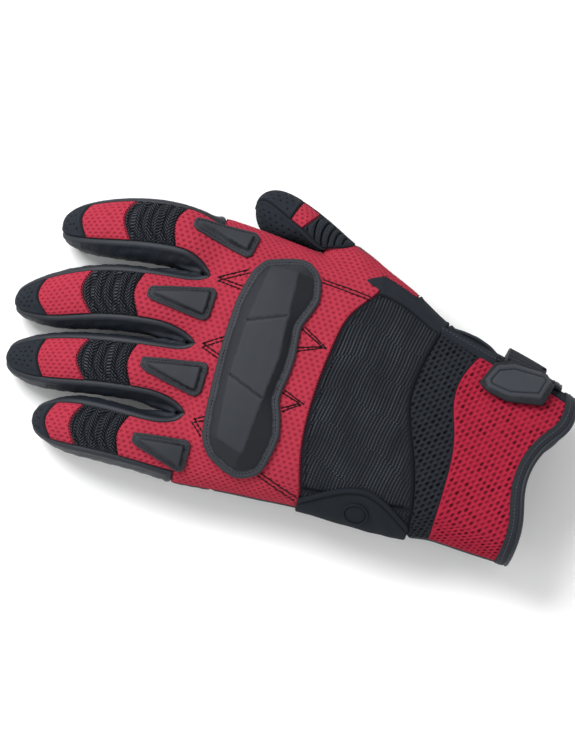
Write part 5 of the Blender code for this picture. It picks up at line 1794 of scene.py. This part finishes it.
def slit_edge(piece):
    slit_band(piece)
    slit_fold(piece)


shell_look("cuff_gusset_look", ("cuff_gusset",), 5, tube_uv, suede_relief, SUEDE, "cuff",
           depth=CUFF_DEPTH, stitches=dict(inset=2.0, pitch=1.7, length=1.2, radius=0.18),
           extra=slit_edge)

# ------------------------------------------------------------------ cuff binding
# cross-section of the folded edge, outside to inside: distance beyond the hem, height over
# the shell
BINDING_PROFILE = np.array((
    (-1.9, 0.1), (-1.85, 0.55), (-1.0, 0.72), (0.6, 0.78), (1.6, 0.75), (2.1, 0.62), (2.3, 0.35),
    (2.5, 0.62), (2.9, 0.85), (3.4, 0.75), (3.9, 0.25), (4.1, -0.5), (3.9, -1.4), (3.2, -2.1),
    (2.0, -2.6), (0.6, -2.9), (-0.9, -3.0), (-1.0, -2.4), (-0.2, -1.4)))
TAPE_COLUMNS = 5        # first columns of the section, covered in tape
HUG_BEYOND = -0.3       # section points short of this follow the shell


def cuff_binding():
    points, shell_normals, quads = patch(CUFF_PANELS, 5)
    loops = border_loops(border_edges(quads))
    hem = np.array(min(loops, key=lambda loop: points[loop][:, 1].mean()))
    line = eased_loop(points[hem], 6)
    tangents = unit(np.roll(line, -1, axis=0) - np.roll(line, 1, axis=0))
    normals = unit(eased_loop(square_to(shell_normals[hem], tangents), 10))
    outward = np.cross(tangents, normals)
    if outward[:, 1].sum() > 0:
        outward = -outward
    line, normals, outward = line[::2], normals[::2], outward[::2]
    count, columns = len(line), len(BINDING_PROFILE)
    grid = (line[:, None, :] + outward[:, None, :] * BINDING_PROFILE[None, :, 0, None]
            + normals[:, None, :] * BINDING_PROFILE[None, :, 1, None])
    for k, (beyond, height) in enumerate(BINDING_PROFILE):
        if beyond < HUG_BEYOND:
            for i in range(count):
                hit, normal, _, _ = SHELL.find_nearest(Vector(grid[i, k]))
                grid[i, k] = np.array(hit + normal * height)
    lengths = np.linalg.norm(np.diff(line, axis=0), axis=1)
    arc = np.concatenate([[0], np.cumsum(lengths)])
    uv = np.stack([np.repeat(arc, columns), np.tile(np.linspace(0, 14, columns), count)], 1)
    vertices = grid.reshape(-1, 3)
    faces = grid_quads(count, columns, close_rows=True, close_columns=True)[:, TURNED_OVER]
    core = np.repeat(line + normals * -1.2, columns, axis=0)
    faces = facing(vertices, faces, vertices[faces].mean(1) - core)
    taped = np.tile(np.arange(columns), count) < TAPE_COLUMNS
    piece = Piece("cuff_binding_look")
    piece.add(vertices, faces[~taped], LEATHER, uv=uv)
    piece.add(vertices, faces[taped], TAPE, uv=uv)
    row = line + outward * 0.2
    row_stitches(piece, np.vstack([row, row[:1]]), np.vstack([normals, normals[:1]]),
                 GREY_THREAD, lift=0.86, pitch=1.5, length=1.0, radius=0.2)
    return piece.build()


attach(cuff_binding(), ("cuff_binding",), "cuff")

# ------------------------------------------------------------------------ studio
# metres and watts
FLOOR_HALF, FLOOR_Z = 3.0, -0.0006
CENTRE = Vector((-0.0019, 0.0102, 0.025))       # what the camera and lights aim at
TURN_SIDE, TURN_ALONG = 0.2588, 0.9659          # the camera's turn about VIEW_AXIS
CAMERA_RIGHT = TURN_SIDE * SIDE_AXIS - TURN_ALONG * Vector((0, 1, 0))
CAMERA_UP = TURN_ALONG * SIDE_AXIS + TURN_SIDE * Vector((0, 1, 0))
CAMERA_DISTANCE = 2.5


def make_floor():
    mesh = bpy.data.meshes.new("floor")
    corners = ((-1, -1), (1, -1), (1, 1), (-1, 1))
    mesh.from_pydata([(x * FLOOR_HALF, y * FLOOR_HALF, FLOOR_Z) for x, y in corners], [],
                     [(0, 1, 2, 3)])
    made = bpy.data.objects.new("floor", mesh)
    bpy.context.scene.collection.objects.link(made)
    mat = bpy.data.materials.new("pale_floor")
    mat.use_nodes = True
    shader = mat.node_tree.nodes["Principled BSDF"]
    shader.inputs["Base Color"].default_value = (0.93, 0.93, 0.93, 1)
    shader.inputs["Roughness"].default_value = 0.9
    shader.inputs["Specular IOR Level"].default_value = 0.1
    mesh.materials.append(mat)
    return made


def make_world():
    world = bpy.data.worlds.new("studio")
    bpy.context.scene.world = world
    world.use_nodes = True
    background = world.node_tree.nodes["Background"]
    background.inputs["Color"].default_value = (1.0, 1.0, 1.0, 1)
    background.inputs["Strength"].default_value = 0.58
    bpy.context.scene.view_settings.view_transform = "Standard"


def area_light(name, toward, up, right, size, power):
    """Light aimed at CENTRE, placed from it by distances in the camera's frame."""
    data = bpy.data.lights.new(name, "AREA")
    data.shape = "RECTANGLE"
    data.size, data.size_y = size
    data.energy = power
    data.color = (1, 1, 1)
    made = bpy.data.objects.new(name, data)
    bpy.context.scene.collection.objects.link(made)
    place = CENTRE + VIEW_AXIS * toward + CAMERA_UP * up + CAMERA_RIGHT * right
    made.location = place
    made.rotation_euler = (CENTRE - place).to_track_quat("-Z", "Y").to_euler()
    return made


def make_camera():
    data = bpy.data.cameras.new("camera")
    data.sensor_width = 36.0
    data.sensor_fit = "AUTO"
    data.lens = 285.7
    data.clip_end = 20.0
    made = bpy.data.objects.new("camera", data)
    bpy.context.scene.collection.objects.link(made)
    place = CENTRE + VIEW_AXIS * CAMERA_DISTANCE
    axes = zip(CAMERA_RIGHT, CAMERA_UP, VIEW_AXIS, place)
    made.matrix_world = Matrix([*axes, (0, 0, 0, 1)])
    bpy.context.scene.camera = made
    return made


floor = make_floor()
make_world()
lights = [area_light("key", toward=0.9, up=0.7, right=-0.5, size=(0.6, 0.6), power=17.0),
          area_light("fill", toward=0.8, up=-0.8, right=0.6, size=(0.9, 0.9), power=4.0),
          area_light("side", toward=0.5, up=0.0, right=-1.0, size=(0.5, 0.9), power=3.0)]
camera = make_camera()
